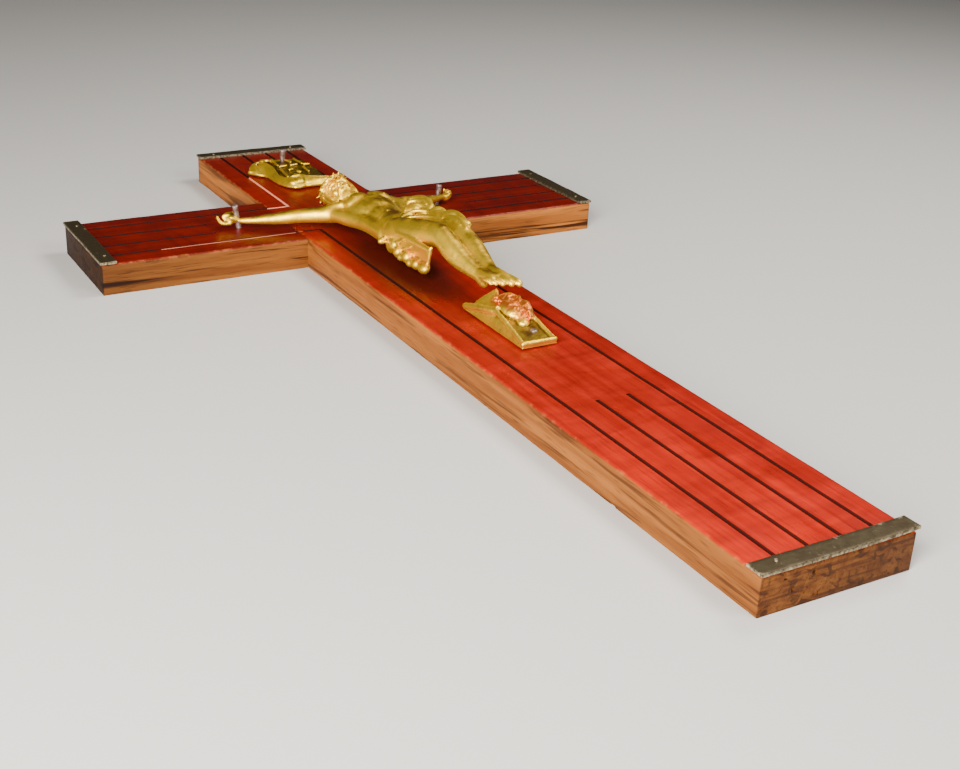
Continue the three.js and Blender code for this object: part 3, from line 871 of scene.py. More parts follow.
def gilt_finish(name, patina, copper, copper_and_reflection_patch=None, dark_field=None):
    """Old gilding: satin gold, brown in the hollows, copper where it has worn through.

    Painted shade turns the upward faces of the bare skin brown, and sharp edges are lighter, partly rubbed
    gilding and partly a painted highlight. The patch is the centre, radii and strength of a copper-coloured
    patch: worn through on the foot rest's boss, a painted orange reflection on the figure's flap. dark_field
    is a stained field's low corner, high corner, level where y is 0, slope along y, and colour."""
    material, tree, shader, coordinates = new_finish(name)
    gold_deep = (1.0, 0.60, 0.022, 1)
    gold_light = (1.0, 0.74, 0.050, 1)
    gold_rubbed_and_highlit = (1.0, 0.74, 0.085, 1)
    fly_specks = (0.30, 0.17, 0.05, 1)
    painted_top_shade_colour = (0.18, 0.078, 0.010, 1)
    copper_and_reflection_colour = (0.84, 0.210, 0.028, 1)
    hollow_dirt = (0.055, 0.030, 0.012, 1)
    cloud = noise_over(tree, coordinates, 220.0, 5, Roughness=0.6)
    speck = noise_over(tree, coordinates, 1600.0, 3)
    wear = place_group(tree, edge_wear, Low=0.51, High=0.57, Grain=900.0)
    colour = mix_colour(tree, remap(tree, cloud, 0.35, 0.7), gold_deep, gold_light)
    colour = mix_colour(tree, remap(tree, speck, 0.60, 0.75, 0, 0.35), colour, fly_specks)
    copper_and_reflection = maths(tree, "MULTIPLY", remap(tree, cloud, 0.60 - copper * 0.2, 0.68 - copper * 0.2), copper)
    # A copper-coloured patch: worn through on the foot rest's boss, a painted orange reflection on the
    # figure's flap.
    if copper_and_reflection_patch:
        centre, radii, strength = copper_and_reflection_patch
        offset = add_node(tree, "ShaderNodeVectorMath", {0: coordinates.outputs["Object"], 1: centre},
                          operation="SUBTRACT")
        offset = add_node(tree, "ShaderNodeVectorMath", {0: offset.outputs[0], 1: radii}, operation="DIVIDE")
        offset = add_node(tree, "ShaderNodeVectorMath", {0: offset.outputs[0]}, operation="LENGTH")
        ragged = maths(tree, "ADD", offset.outputs["Value"], remap(tree, cloud, 0.3, 0.7, -0.25, 0.25))
        copper_and_reflection = maths(tree, "MAXIMUM", copper_and_reflection, remap(tree, ragged, 1.05, 0.85, 0, strength))
    # Painted shade: on the bare skin, faces that turn upward are darkened towards brown, broken up by the
    # cloud noise.
    direction = add_node(tree, "ShaderNodeVectorMath",
                         {0: coordinates.outputs["Normal"], 1: (0.24, 0.06, 0.97)},
                         operation="DOT_PRODUCT")
    painted_top_shade = maths(tree, "MULTIPLY", remap(tree, direction.outputs["Value"], 0.62, 0.94),
                    remap(tree, cloud, 0.36, 0.60, 0.12, 1.0))
    skin = add_node(tree, "ShaderNodeAttribute", attribute_name="skin")
    painted_top_shade = maths(tree, "MULTIPLY", painted_top_shade, maths(tree, "MULTIPLY", skin.outputs["Fac"], 0.92))
    colour = mix_colour(tree, painted_top_shade, colour, painted_top_shade_colour)
    # Sharp edges lighter: partly rubbed gilding, partly a painted highlight.
    colour = tint(tree, colour, gold_rubbed_and_highlit, wear.outputs["Mask"], 0.5)
    colour = mix_colour(tree, copper_and_reflection, colour, copper_and_reflection_colour)
    colour = tint(tree, colour, hollow_dirt, wear.outputs["Hollow"], patina)
    if dark_field:
        low_corner, high_corner, level, slope, stain = dark_field
        place = add_node(tree, "ShaderNodeSeparateXYZ", {0: coordinates.outputs["Object"]})
        height = maths(tree, "SUBTRACT", place.outputs[2], maths(tree, "MULTIPLY", place.outputs[1], slope))
        inside = maths(tree, "MULTIPLY", remap(tree, height, level + 0.25 * MM, level),
                       inside_box(tree, place, low_corner, high_corner, 0.5 * MM))
        mottled = remap(tree, cloud, 0.35, 0.65, 0.95, 0.7)
        colour = tint(tree, colour, stain, inside, mottled)
    tree.links.new(colour, shader.inputs["Base Color"])
    shader.inputs["Metallic"].default_value = 0.95
    roughness = remap(tree, cloud, 0.3, 0.7, 0.52, 0.40)
    roughness = maths(tree, "ADD", roughness, maths(tree, "MULTIPLY", wear.outputs["Hollow"], 0.25))
    tree.links.new(roughness, shader.inputs["Roughness"])
    grain = maths(tree, "ADD", maths(tree, "MULTIPLY", speck, 0.6), cloud)
    roughen(tree, shader, grain, 0.35, 0.15 * MM)
    return material


def curled_sheet(rows, columns, shape, thickness):
    """A grid laid out by shape(u, v), returning millimetres, then given its thickness."""
    bpy.ops.object.select_all(action="DESELECT")
    bpy.ops.mesh.primitive_grid_add(x_subdivisions=columns, y_subdivisions=rows, size=1)
    sheet = bpy.context.object
    for vertex in sheet.data.vertices:
        x, y, height = shape(vertex.co.x + 0.5, vertex.co.y + 0.5)
        vertex.co = (x * MM, y * MM, face_z + height * MM)
    apply_modifier(sheet, "SOLIDIFY", thickness=thickness * MM, offset=0)
    return sheet


def along_line(line, share):
    """A point part of the way along a line of points, in equal steps from point to point."""
    place = min(share, 0.9999) * (len(line) - 1)
    index = int(place)
    return Vector(line[index]).lerp(Vector(line[index + 1]), place - index)


def stretched_between(low_line, high_line, bulge, rows=16, columns=40):
    """A curved sheet from one line to another, bulging towards the foot of the cross and upward."""
    def shape(u, v):
        point = along_line(low_line, u).lerp(along_line(high_line, u), v)
        swell = bulge * math.sin(math.pi * v)
        return point.x - swell * 0.3, point.y - swell, point.z + swell * 0.4

    return curled_sheet(rows, columns, shape, 0.8)


def thick_line(line, radius):
    return rod([(*point, radius) for point in line], 5)


def press(obj, centre, radii, push):
    """Pushes a soft patch of the surface by push; all in millimetres, heights above the face."""
    for vertex in obj.data.vertices:
        point = vertex.co
        offset = ((point.x / MM - centre[0]) / radii[0], (point.y / MM - centre[1]) / radii[1],
                  ((point.z - face_z) / MM - centre[2]) / radii[2])
        distance = sum(value * value for value in offset)
        if distance < 4:
            point += Vector(push) * math.exp(-distance * 1.4) * MM


outer_edge = ((-11.2, 121.8, 0.9), (-9.5, 118.3, 0.9), (-7.0, 116.6, 0.9), (-6.5, 112.0, 0.8),
              (-6.4, 107.4, 0.8),
              (-5.3, 103.8, 0.8), (-3.5, 100.7, 0.9), (-1.2, 100.7, 0.9), (0.6, 101.6, 0.9))
ridge_edge = ((-11.2, 121.6, 1.3), (-9.3, 122.6, 2.4), (-5.4, 125.6, 2.9), (-3.4, 120.4, 2.3),
              (-4.9, 114.0, 2.1),
              (-5.4, 108.6, 2.0), (-3.9, 105.4, 2.4), (-0.7, 107.2, 3.1), (1.7, 105.6, 2.9))
tail_low = ((0.4, 101.5, 0.9), (3.1, 101.5, 0.8), (7.0, 101.9, 0.8), (9.8, 102.6, 1.0), (10.9, 103.1, 1.5))
tail_high = ((1.6, 105.4, 2.8), (3.0, 105.0, 2.6), (6.0, 104.4, 2.5), (9.0, 103.6, 2.4), (10.9, 103.2, 2.2))
field_low_edge = ((-4.9, 105.4, 1.4), (1.0, 106.0, 1.6), (8.6, 105.6, 1.4))
field_high_edge = ((-0.8, 129.6, 1.7), (4.0, 130.0, 1.6), (9.6, 127.4, 1.4))
scroll_parts = [
    stretched_between(field_low_edge, field_high_edge, -0.5),
    stretched_between(outer_edge, ridge_edge, 0.5, 10, 90),
    stretched_between(tail_low, tail_high, 0.45, 10, 40),
    thick_line(outer_edge, 0.55),
    thick_line(ridge_edge, 0.5),
    thick_line(tail_low, 0.55),
    thick_line(tail_high, 0.5),
    thick_line(field_high_edge, 0.45),
    rod([(-5.4, 125.6, 2.9, 0.8), (-4.0, 128.0, 2.5, 0.75), (-2.2, 127.4, 2.4, 0.7),
         (-0.8, 129.4, 2.0, 0.5)], 5),
    rod([(-10.2, 123.2, 1.6, 0.5), (-8.6, 126.0, 1.6, 0.6), (-6.2, 128.4, 1.8, 0.6),
         (-3.8, 128.4, 2.2, 0.6)], 5),
    rod([(-9.6, 122.4, 2.2, 0.55), (-8.4, 124.4, 2.7, 0.6), (-7.2, 126.4, 2.4, 0.5)], 5),
    rod([(-0.9, 107.3, 3.0, 0.5), (0.8, 107.6, 2.6, 0.4), (2.2, 107.2, 2.2, 0.35)], 4),
    rod([(8.6, 105.4, 1.5, 0.45), (9.8, 114.0, 1.6, 0.42), (10.2, 121.4, 1.5, 0.42),
         (9.6, 127.2, 1.5, 0.42)], 4),
    ball((-1.6, 103.4, 1.9), (3.4, 2.3, 1.3), (0, 0, 14)),
    ball((4.6, 104.8, 1.5), (4.6, 2.0, 0.9)),
]
stroke_height = 2.35
for start_x, start_y, end_x, end_y in (
    (-0.3, 129.0, -1.1, 121.6), (-0.9, 120.2, 1.5, 120.5), (-1.9, 117.2, -3.0, 108.2),
    (0.7, 115.6, 2.0, 116.0),
    (3.3, 120.8, 5.5, 121.0), (7.1, 127.6, 7.5, 121.4), (7.9, 120.6, 9.5, 120.0), (6.3, 117.2, 6.0, 111.8),
    (4.0, 126.8, 4.6, 124.2), (2.4, 113.2, 3.2, 112.2),
):
    scroll_parts.append(rod([(start_x, start_y, stroke_height, 0.45), (end_x, end_y, stroke_height, 0.4)],
                            4))

scroll = fuse(scroll_parts, "scroll", 0.18 * MM, 1)
press(scroll, (-7.4, 124.6, 2.9), (0.7, 1.8, 1.0), (0.3, 0, -1.3))
press(scroll, (-9.0, 121.2, 1.6), (0.5, 1.6, 0.9), (0.3, 0, -0.6))
press(scroll, (-1.0, 105.6, 3.0), (1.6, 0.4, 0.8), (0, 0, -0.6))
press(scroll, (-2.6, 103.2, 2.9), (0.4, 1.4, 0.8), (0, 0, -0.5))
press(scroll, (0.4, 103.2, 2.9), (0.4, 1.6, 0.8), (0, 0, -0.5))
for vertex in scroll.data.vertices:
    vertex.co += noise.noise_vector(vertex.co * 700) * 0.09 * MM
field_low = (-3.6 * MM, 104.6 * MM)
field_high = (10.6 * MM, 128.0 * MM)
field_stain = (0.075, 0.040, 0.014, 1)
hand_in(scroll, "scroll",
        gilt_finish("gilt_scroll", 0.9, 0.15, None, (field_low, field_high, face_z + 2.25 * MM, 0,
                                                     field_stain)),
        "gilt_metal", "titulus_scroll")


# ---------------------------------------------------------------- foot rest
# A gilded cast wedge below the feet: a slab slopes up from the board towards the feet, a long
# tapering front slopes back down with a raised rim, and its carved boss has worn to the copper.

rest_foot_half = 5.2
rest_lean = 0.36
rest_edge = 4.15
rest_profile = ((-14.2, 0.4), (-14.2, 1.1), (-27.6, 5.0), (-29.2, 4.5), (-43.8, 1.0), (-43.8, 0.4))


def rest_block():
    """The wedge, pulled out of a flat outline across the board, its sides leaning in towards the top."""
    bpy.ops.object.select_all(action="DESELECT")
    mesh = bpy.data.meshes.new("rest_block")
    corners = [(-MM, y * MM, face_z + height * MM) for y, height in rest_profile]
    mesh.from_pydata(corners, [], [tuple(range(len(corners)))])
    block = bpy.data.objects.new("rest_block", mesh)
    bpy.context.collection.objects.link(block)
    only(block)
    bpy.ops.object.mode_set(mode="EDIT")
    bpy.ops.mesh.select_all(action="SELECT")
    bpy.ops.mesh.extrude_region_move(TRANSFORM_OT_translate={"value": (2 * MM, 0, 0)})
    bpy.ops.mesh.select_all(action="SELECT")
    bpy.ops.mesh.normals_make_consistent(inside=False)
    bpy.ops.object.mode_set(mode="OBJECT")
    for vertex in mesh.vertices:
        vertex.co.x *= rest_foot_half - rest_lean * (vertex.co.z - face_z) / MM
    return block


def fin(u, v):
    """The thin leaf that stands on the slab and leans against the boss, its face towards the near side."""
    foot = Vector((-2.6, -15.4, 1.6)).lerp(Vector((-0.6, -26.0, 4.4)), u)
    top = Vector((-2.4, -15.6, 2.2)).lerp(Vector((2.6, -18.2, 6.0)), min(1, u * 1.3))
    return foot.lerp(top, v)


rest_parts = [rest_block(), curled_sheet(12, 30, fin, 0.9)]
for side in (-1, 1):
    edge_x = side * rest_edge
    rest_parts += [
        rod([(edge_x * 0.96, -28.4, 5.0, 0.6), (edge_x, -36.5, 3.1, 0.58),
             (edge_x * 1.08, -43.3, 1.5, 0.55)], 4),
        rod([(edge_x * 1.12, -14.7, 1.3, 0.85), (edge_x * 1.06, -21, 3.0, 1.05),
             (edge_x * 0.92, -27.6, 4.4, 0.95)], 5),
    ]
rest_parts += [
    rod([(-4.6, -43.4, 1.5, 0.62), (4.6, -43.4, 1.5, 0.62)], 4),
    rod([(-3.4, -27.8, 5.0, 0.7), (3.8, -27.8, 5.0, 0.7)], 4),
    ball((0.4, -30.2, 4.9), (3.3, 4.3, 1.7), (12, 0, 8)),
    ball((2.7, -24.4, 5.3), (2.6, 3.4, 1.5), (0, 0, 16)),
    ball((3.5, -29.4, 5.0), (1.9, 3.8, 1.8), (0, -12, 0)),
    ball((2.9, -32.8, 4.1), (1.5, 2.4, 1.3)),
    ball((0.4, -34.6, 3.3), (1.8, 2.2, 1.0)),
    rod([(2.9, -26.2, 6.3, 0.6), (3.3, -28.0, 7.0, 0.42)], 4),
    rod([(3.0, -27.4, 6.4, 0.6), (3.0, -31.0, 6.2, 0.6), (2.3, -35.0, 4.4, 0.5)], 4),
]
for number in range(9):
    turn = number / 9 * 2 * math.pi
    rest_parts.append(ball((-0.1 + 1.3 * math.cos(turn), -23.5 + 1.3 * math.sin(turn), 5.4), (0.5, 0.5, 0.6),
                           detail=10))
rest = fuse(rest_parts, "rest", 0.2 * MM, 1)
for vertex in rest.data.vertices:
    point = vertex.co
    on_boss = max(0, 1 - ((point.x - 1.6 * MM) / (4.0 * MM)) ** 2 - ((point.y + 28.5 * MM) / (8.5 * MM)) ** 2)
    if point.z > face_z + 1.2 * MM:
        rough = noise.noise_vector(point * 620) + noise.noise_vector(point * 1500) * 0.5
        point += rough * (0.09 + 0.36 * on_boss) * MM

boss_centre = (1.5 * MM, -28.6 * MM, face_z + 5.4 * MM)
boss_radii = (4.3 * MM, 8.6 * MM, 3.0 * MM)
rest_slope = (rest_profile[3][1] - rest_profile[4][1]) / (rest_profile[3][0] - rest_profile[4][0])
rest_level = face_z + (rest_profile[4][1] - rest_slope * rest_profile[4][0] + 0.3) * MM
rest_field = ((-4.2 * MM, -43.2 * MM), (4.2 * MM, -28.4 * MM), rest_level, rest_slope,
              (0.055, 0.020, 0.006, 1))
hand_in(rest, "foot_rest_casting",
        gilt_finish("gilt_rest", 0.9, 0.2, (boss_centre, boss_radii, 0.95), rest_field),
        "gilt_metal", "foot_rest")


# ---------------------------------------------------------------- figure
# The figure, one casting in bronze or white metal, gilded and burnished, hung by the hands a few
# millimetres clear of the board. The skin is smooth; hair, thorns and cloth were chased sharper.

anatomy_voxel = 0.42 * MM
casting_voxel = 0.27 * MM
head_voxel = 0.17 * MM
triangles_kept = 0.82

# Trunk: ribcage, shoulder girdle, chest muscles, hollow belly and hips.
body_parts = [
    ball((0, 50.6, 6.8), (7.9, 8.4, 4.9)),
    ball((0, 55.4, 6.6), (8.9, 3.9, 3.7)),
    ball((-3.8, 53.9, 9.9), (4.2, 3.0, 1.9), (0, -14, 18)),
    ball((3.8, 53.9, 9.9), (4.2, 3.0, 1.9), (0, 14, -18)),
    ball((0.2, 43.6, 6.7), (5.6, 7.0, 3.8)),
    ball((-1.6, 43.4, 9.3), (1.5, 5.6, 1.1)),
    ball((1.9, 43.4, 9.3), (1.5, 5.6, 1.1)),
    ball((0.7, 34.2, 6.8), (7.1, 7.2, 4.4)),
    ball((0.5, 37.2, 8.4), (4.6, 3.6, 2.8)),
    ball((-2.0, 37.2, 6.4), (3.6, 6.6, 2.7)),
    rod([(-1.2, 57.2, 7.0, 2.9), (-2.3, 61.0, 8.2, 2.5), (-3.2, 64.5, 8.8, 2.4)]),
]
for side in (-1, 1):
    body_parts += [
        rod([(side * 1.4, 59.6, 7.2, 1.5), (side * 4.6, 58.2, 6.9, 1.9), (side * 9.0, 57.2, 6.5, 2.2)]),
        rod([(side * 4.2, 54.2, 9.6, 1.5), (side * 7.6, 55.6, 8.3, 1.5), (side * 12.4, 58.4, 6.4, 1.3)]),
        rod([(side * 10.8, 57.2, 5.6, 1.7), (side * 8.4, 53.0, 5.6, 2.4), (side * 5.4, 44.5, 6.0, 2.3),
             (side * 4.8, 38.0, 6.2, 2.5), (side * 4.8, 32.0, 6.4, 2.8)]),
        rod([(side * 7.9, 56.0, 5.8, 2.9), (side * 11.8, 58.2, 5.2, 2.5), (side * 15.6, 60.2, 4.9, 2.3),
             (side * 18.6, 61.4, 4.6, 2.05), (side * 21.6, 62.5, 4.3, 2.05), (side * 24.5, 64.2, 3.7, 1.85),
             (side * 28.0, 66.4, 3.15, 1.45), (side * 31.4, 68.2, 2.65, 1.1),
             (side * 34.0, 69.6, 2.6, 0.95)]),
        rod([(side * 10.6, 58.4, 6.3, 1.3), (side * 13.6, 59.6, 6.2, 1.3), (side * 17.2, 60.8, 5.5, 0.8)]),
    ]
    body_parts.append(rod([(side * 0.9, 49.2, 10.5, 0.7), (side * 2.6, 47.2, 10.2, 0.7),
                           (side * 4.2, 45.2, 9.1, 0.6)], 4))

# Legs: thighs rise to bent knees, shins fall to the ankles.
for hip, thigh, above_knee, knee, below_knee, calf, low_calf, ankle, heel in (
    ((-2.4, 29.6, 7.0, 4.6), (-1.4, 20.5, 9.9, 4.2), (-0.3, 13.0, 11.8, 3.55), (0.3, 9.2, 12.5, 3.3),
     (0.5, 6.0, 11.5, 3.0), (0.9, 1.8, 9.5, 3.2), (1.6, -3.4, 7.9, 2.5), (2.4, -9.4, 6.8, 1.75),
     (2.5, -11.4, 5.4, 1.5)),
    ((4.7, 29.6, 6.8, 4.3), (5.7, 20.5, 9.2, 3.8), (6.5, 13.0, 11.0, 3.3), (6.8, 9.2, 11.6, 3.2),
     (6.9, 6.2, 11.2, 2.9), (6.8, 2.0, 10.0, 3.1), (6.5, -3.2, 8.7, 2.5), (5.9, -9.4, 7.6, 1.75),
     (5.7, -11.4, 6.2, 1.45)),
):
    body_parts += [
        rod([hip, thigh, above_knee, knee]),
        rod([knee, below_knee, calf, low_calf, ankle]),
        rod([(knee[0], knee[1] + 1.2, knee[2] + 1.4, 1.6),
             (below_knee[0], below_knee[1], below_knee[2] + 1.3, 1.2),
             (low_calf[0], low_calf[1], low_calf[2] + 1.2, 0.9), (ankle[0], ankle[1], ankle[2] + 0.5, 1.0)],
             5),
        rod([ankle, heel]),
    ]
body_parts += [
    rod([(2.7, -9.6, 7.2, 1.8), (2.6, -13.2, 7.7, 1.7), (2.2, -16.2, 7.9, 1.15)]),
    rod([(5.5, -9.6, 7.7, 1.8), (6.0, -13.6, 7.9, 1.8), (6.6, -17.6, 7.8, 1.2)]),
    ball((4.2, -14.6, 7.6), (3.4, 2.4, 1.2), (0, 0, -18)),
]
body = fuse(body_parts, "figure_body", anatomy_voxel, 9)

press(body, (0.3, 40.6, 10.8), (0.55, 0.7, 1.6), (0, 0, -1.0))
press(body, (0.1, 45.0, 10.6), (0.6, 3.6, 1.5), (0, 0, -0.55))
press(body, (0, 54.0, 11.6), (0.7, 3.0, 1.8), (0, 0, -0.4))
press(body, (-1.5, 58.8, 9.0), (1.2, 1.0, 1.5), (0, 0, -0.7))
for side in (-1, 1):
    press(body, (side * 5.4, 51.2, 10.4), (3.4, 0.8, 1.8), (0, 0, -0.35))
    press(body, (side * 4.9, 53.0, 11.4), (0.45, 0.45, 1.2), (0, 0, 0.45))
    press(body, (side * 2.7, 42.0, 10.2), (0.5, 3.4, 1.4), (0, 0, -0.2))

# Hands: palms around the nails, the fingers curled up, one finger of the near hand hooked out.
detail_parts = [
    body,
    ball((-36.2, 71.2, 2.9), (2.15, 1.65, 1.35), (0, 0, -28)),
    ball((-35.0, 72.0, 3.6), (1.1, 0.8, 0.7)),
    rod([(-37.0, 70.2, 1.9, 0.6), (-38.8, 70.6, 1.7, 0.58), (-40.1, 71.1, 2.4, 0.52),
         (-40.6, 71.3, 3.9, 0.44)], 5),
    rod([(-37.6, 71.3, 2.6, 0.6), (-38.8, 72.1, 3.2, 0.52), (-38.2, 72.0, 4.1, 0.48),
         (-37.0, 71.4, 4.1, 0.45)], 4),
    rod([(-37.0, 72.3, 2.7, 0.58), (-38.0, 73.0, 3.4, 0.5), (-37.4, 72.8, 4.2, 0.46),
         (-36.2, 72.2, 4.3, 0.42)], 4),
    rod([(-36.0, 73.0, 2.8, 0.54), (-36.9, 73.8, 3.3, 0.46), (-36.3, 73.6, 4.0, 0.42),
         (-35.4, 72.8, 4.3, 0.42)], 4),
    rod([(-34.8, 70.0, 2.6, 0.55), (-36.0, 69.4, 3.2, 0.5), (-37.0, 69.9, 3.8, 0.44)], 4),
    ball((35.4, 70.3, 2.2), (1.9, 1.6, 1.15), (0, -20, 28)),
    rod([(36.2, 69.6, 2.3, 0.56), (37.2, 70.4, 3.1, 0.5), (36.6, 70.3, 3.9, 0.45), (35.7, 69.9, 3.8, 0.4)],
        4),
    rod([(36.1, 70.6, 2.5, 0.56), (37.0, 71.5, 3.3, 0.5), (36.3, 71.3, 4.0, 0.45), (35.5, 70.7, 3.9, 0.4)],
        4),
    rod([(35.4, 71.5, 2.5, 0.54), (36.2, 72.4, 3.2, 0.46), (35.5, 72.1, 3.9, 0.42)], 4),
    rod([(34.2, 69.4, 2.3, 0.55), (35.2, 68.8, 2.8, 0.48), (36.1, 69.1, 3.3, 0.42)], 4),
]

# Toes, in a slanting row.
for x, y, width_of, reach in ((0.6, -16.9, 0.6, 1.0), (1.8, -17.5, 0.66, 1.3), (3.5, -18.1, 0.86, 1.7),
                              (5.5, -18.9, 0.98, 2.0), (7.4, -19.6, 1.02, 2.1)):
    detail_parts.append(rod([(x - 0.4, y + reach + 0.6, 8.0, width_of * 0.9), (x, y + 0.3, 8.1, width_of),
                             (x + 0.4, y - reach * 0.45, 7.5, width_of * 0.92)], 5))
detail_parts.append(rod([(7.6, -15.4, 7.6, 1.0), (8.0, -18.6, 7.6, 0.9)], 4))

# Loincloth: a thin rolled rim at the waist, a bunched knot over the far hip, a thick twisted rope
# down the far thigh, a hem that stands clear of the lap, and a flap that hangs at the near hip.
detail_parts += [
    rod([(-6.6, 28.6, 6.8, 0.7), (-5.4, 28.0, 8.6, 0.62), (-3.2, 28.9, 9.9, 0.6), (-0.7, 30.6, 10.9, 0.62),
         (2.5, 34.4, 12.0, 0.7), (5.2, 38.6, 12.4, 0.75), (7.6, 41.3, 12.0, 0.75), (9.4, 41.0, 9.4, 0.7)],
         5),
    ball((4.9, 33.8, 11.6), (2.9, 2.7, 1.9), (0, 0, -25)),
    ball((1.9, 31.2, 10.4), (2.6, 2.9, 1.4), (0, 0, -30)),
    ball((7.2, 29.8, 11.6), (2.6, 3.0, 1.7), (0, 0, 15)),
    ball((8.4, 36.0, 11.6), (2.4, 4.4, 2.0)),
    ball((11.0, 36.2, 12.7), (1.15, 1.5, 1.2)), ball((10.6, 38.6, 12.4), (1.0, 1.2, 1.0)),
    ball((10.0, 33.2, 12.6), (1.1, 1.7, 1.2)),
    rod([(6.6, 41.0, 12.5, 0.7), (8.0, 39.4, 13.4, 0.95), (9.3, 36.6, 14.0, 1.0), (9.5, 33.6, 13.9, 1.0),
         (8.9, 30.6, 13.3, 0.8)], 6),
    rod([(4.4, 38.0, 12.7, 0.55), (6.4, 37.4, 13.4, 0.75), (7.8, 35.2, 13.8, 0.75), (8.0, 32.2, 13.5, 0.6)],
        5),
    rod([(2.6, 34.2, 12.4, 0.5), (5.2, 34.4, 13.3, 0.7), (7.0, 32.0, 13.4, 0.7), (7.6, 29.2, 13.1, 0.55)],
        5),
    rod([(0.6, 31.0, 11.6, 0.5), (3.4, 31.2, 12.6, 0.62), (5.8, 29.0, 12.9, 0.65), (7.2, 26.6, 12.9, 0.5)],
        5),
    rod([(-0.6, 29.6, 11.2, 0.42), (1.9, 28.2, 11.9, 0.5), (4.7, 24.4, 12.7, 0.52), (5.6, 21.8, 13.1, 0.5),
         (6.3, 19.4, 13.3, 0.42)], 5),
    rod([(0.8, 29.6, 11.3, 0.6), (3.6, 27.4, 11.9, 0.9), (6.4, 23.6, 12.6, 0.9)], 5),
    ball((8.2, 25.2, 12.5), (2.2, 3.2, 1.7), (16, 0, 34)),
    ball((7.3, 21.6, 12.6), (1.7, 4.4, 1.6), (-4, 0, 30)),
    rod([(6.4, 26.8, 13.0, 0.7), (8.0, 26.6, 14.0, 1.0), (9.6, 24.6, 13.7, 0.95), (9.6, 21.8, 12.9, 0.7)],
        5),
    rod([(6.2, 25.2, 12.8, 0.6), (7.4, 24.0, 14.0, 0.8), (8.2, 21.6, 13.9, 0.75), (7.6, 18.8, 13.0, 0.6)],
        5),
    ball((9.0, 18.6, 13.7), (2.1, 3.5, 1.7), (2, 0, 34)),
    ball((7.7, 13.6, 13.8), (2.0, 5.0, 1.6), (-6, 0, 24)),
    rod([(7.4, 21.4, 13.9, 0.6), (9.2, 20.4, 14.7, 0.95), (10.3, 17.4, 14.6, 1.0), (9.8, 13.2, 14.4, 0.9),
         (8.4, 8.2, 13.9, 0.65)], 5),
    rod([(7.0, 18.2, 14.2, 0.6), (8.1, 15.0, 14.9, 0.8), (7.9, 11.0, 14.8, 0.8), (7.0, 7.0, 14.1, 0.6)], 5),
    rod([(5.9, 15.4, 13.6, 0.4), (6.3, 12.0, 14.5, 0.6), (6.2, 9.0, 14.4, 0.5)], 5),
    rod([(9.4, 31.0, 10.2, 1.0), (9.6, 24.0, 10.8, 1.1), (9.4, 16.0, 11.8, 1.0), (8.6, 8.6, 12.2, 0.6)], 5),
    rod([(-6.4, 28.8, 6.8, 0.6), (-7.2, 28.4, 6.5, 0.62), (-8.0, 27.9, 6.1, 0.95)]),
    ball((-8.1, 27.9, 6.0), (1.15, 1.0, 0.95)),
]


def flap(u, v):
    """The hanging flap: u runs from the hip to its tip, v from its lower edge to its top."""
    y = 28.4 - 21.6 * u
    height = 3.8 + (5.0 + 1.2 * u) * v
    belly = 0.9 * math.sin(math.pi * v) * (0.4 + 0.6 * u)
    return -5.0 + 1.0 * u + 0.2 * v - belly * 0.3, y + 1.4 * (1 - v) * (1 - u), height


detail_parts += [
    curled_sheet(26, 70, flap, 0.9),
    rod([(-5.3, 28.8, 9.0, 0.95), (-5.2, 22.0, 9.5, 0.8), (-4.7, 14.0, 9.7, 0.7), (-4.1, 6.6, 9.6, 0.6)], 5),
    rod([(-4.0, 6.4, 10.1, 0.55), (-4.1, 6.8, 7.0, 0.45), (-4.3, 7.6, 4.4, 0.6)], 4),
    rod([(-4.6, 27.0, 7.0, 1.8), (-3.6, 20.0, 8.0, 1.4), (-3.0, 14.0, 9.2, 1.0)]),
    ball((-5.6, 26.0, 5.0), (1.6, 3.1, 2.3), (-24, 0, -6)),
    ball((-5.9, 21.6, 4.6), (1.6, 2.0, 1.8), (-10, 0, -30)),
    ball((-6.2, 19.4, 3.8), (1.2, 1.5, 1.2)),
    ball((-5.7, 16.8, 4.6), (1.65, 2.1, 1.8), (-14, 0, -20)),
    ball((-5.9, 14.4, 3.7), (1.3, 1.6, 1.2)),
    ball((-5.4, 11.8, 4.2), (1.6, 2.3, 1.65), (-10, 0, -24)),
    ball((-5.0, 8.4, 4.0), (1.6, 2.6, 1.6), (-4, 0, -8)),
    rod([(-5.9, 24.2, 6.2, 0.4), (-5.7, 21.4, 7.6, 0.34), (-5.5, 19.4, 8.6, 0.3)], 4),
    rod([(-5.8, 20.4, 5.4, 0.34), (-5.5, 17.8, 6.8, 0.3), (-5.2, 16.0, 7.8, 0.26)], 4),
]
figure = fuse(detail_parts, "figure", casting_voxel, 2)


def strand_noise(seed, step):
    return noise.noise_vector(Vector((seed * 7.3, step * 1.7, seed - step)))


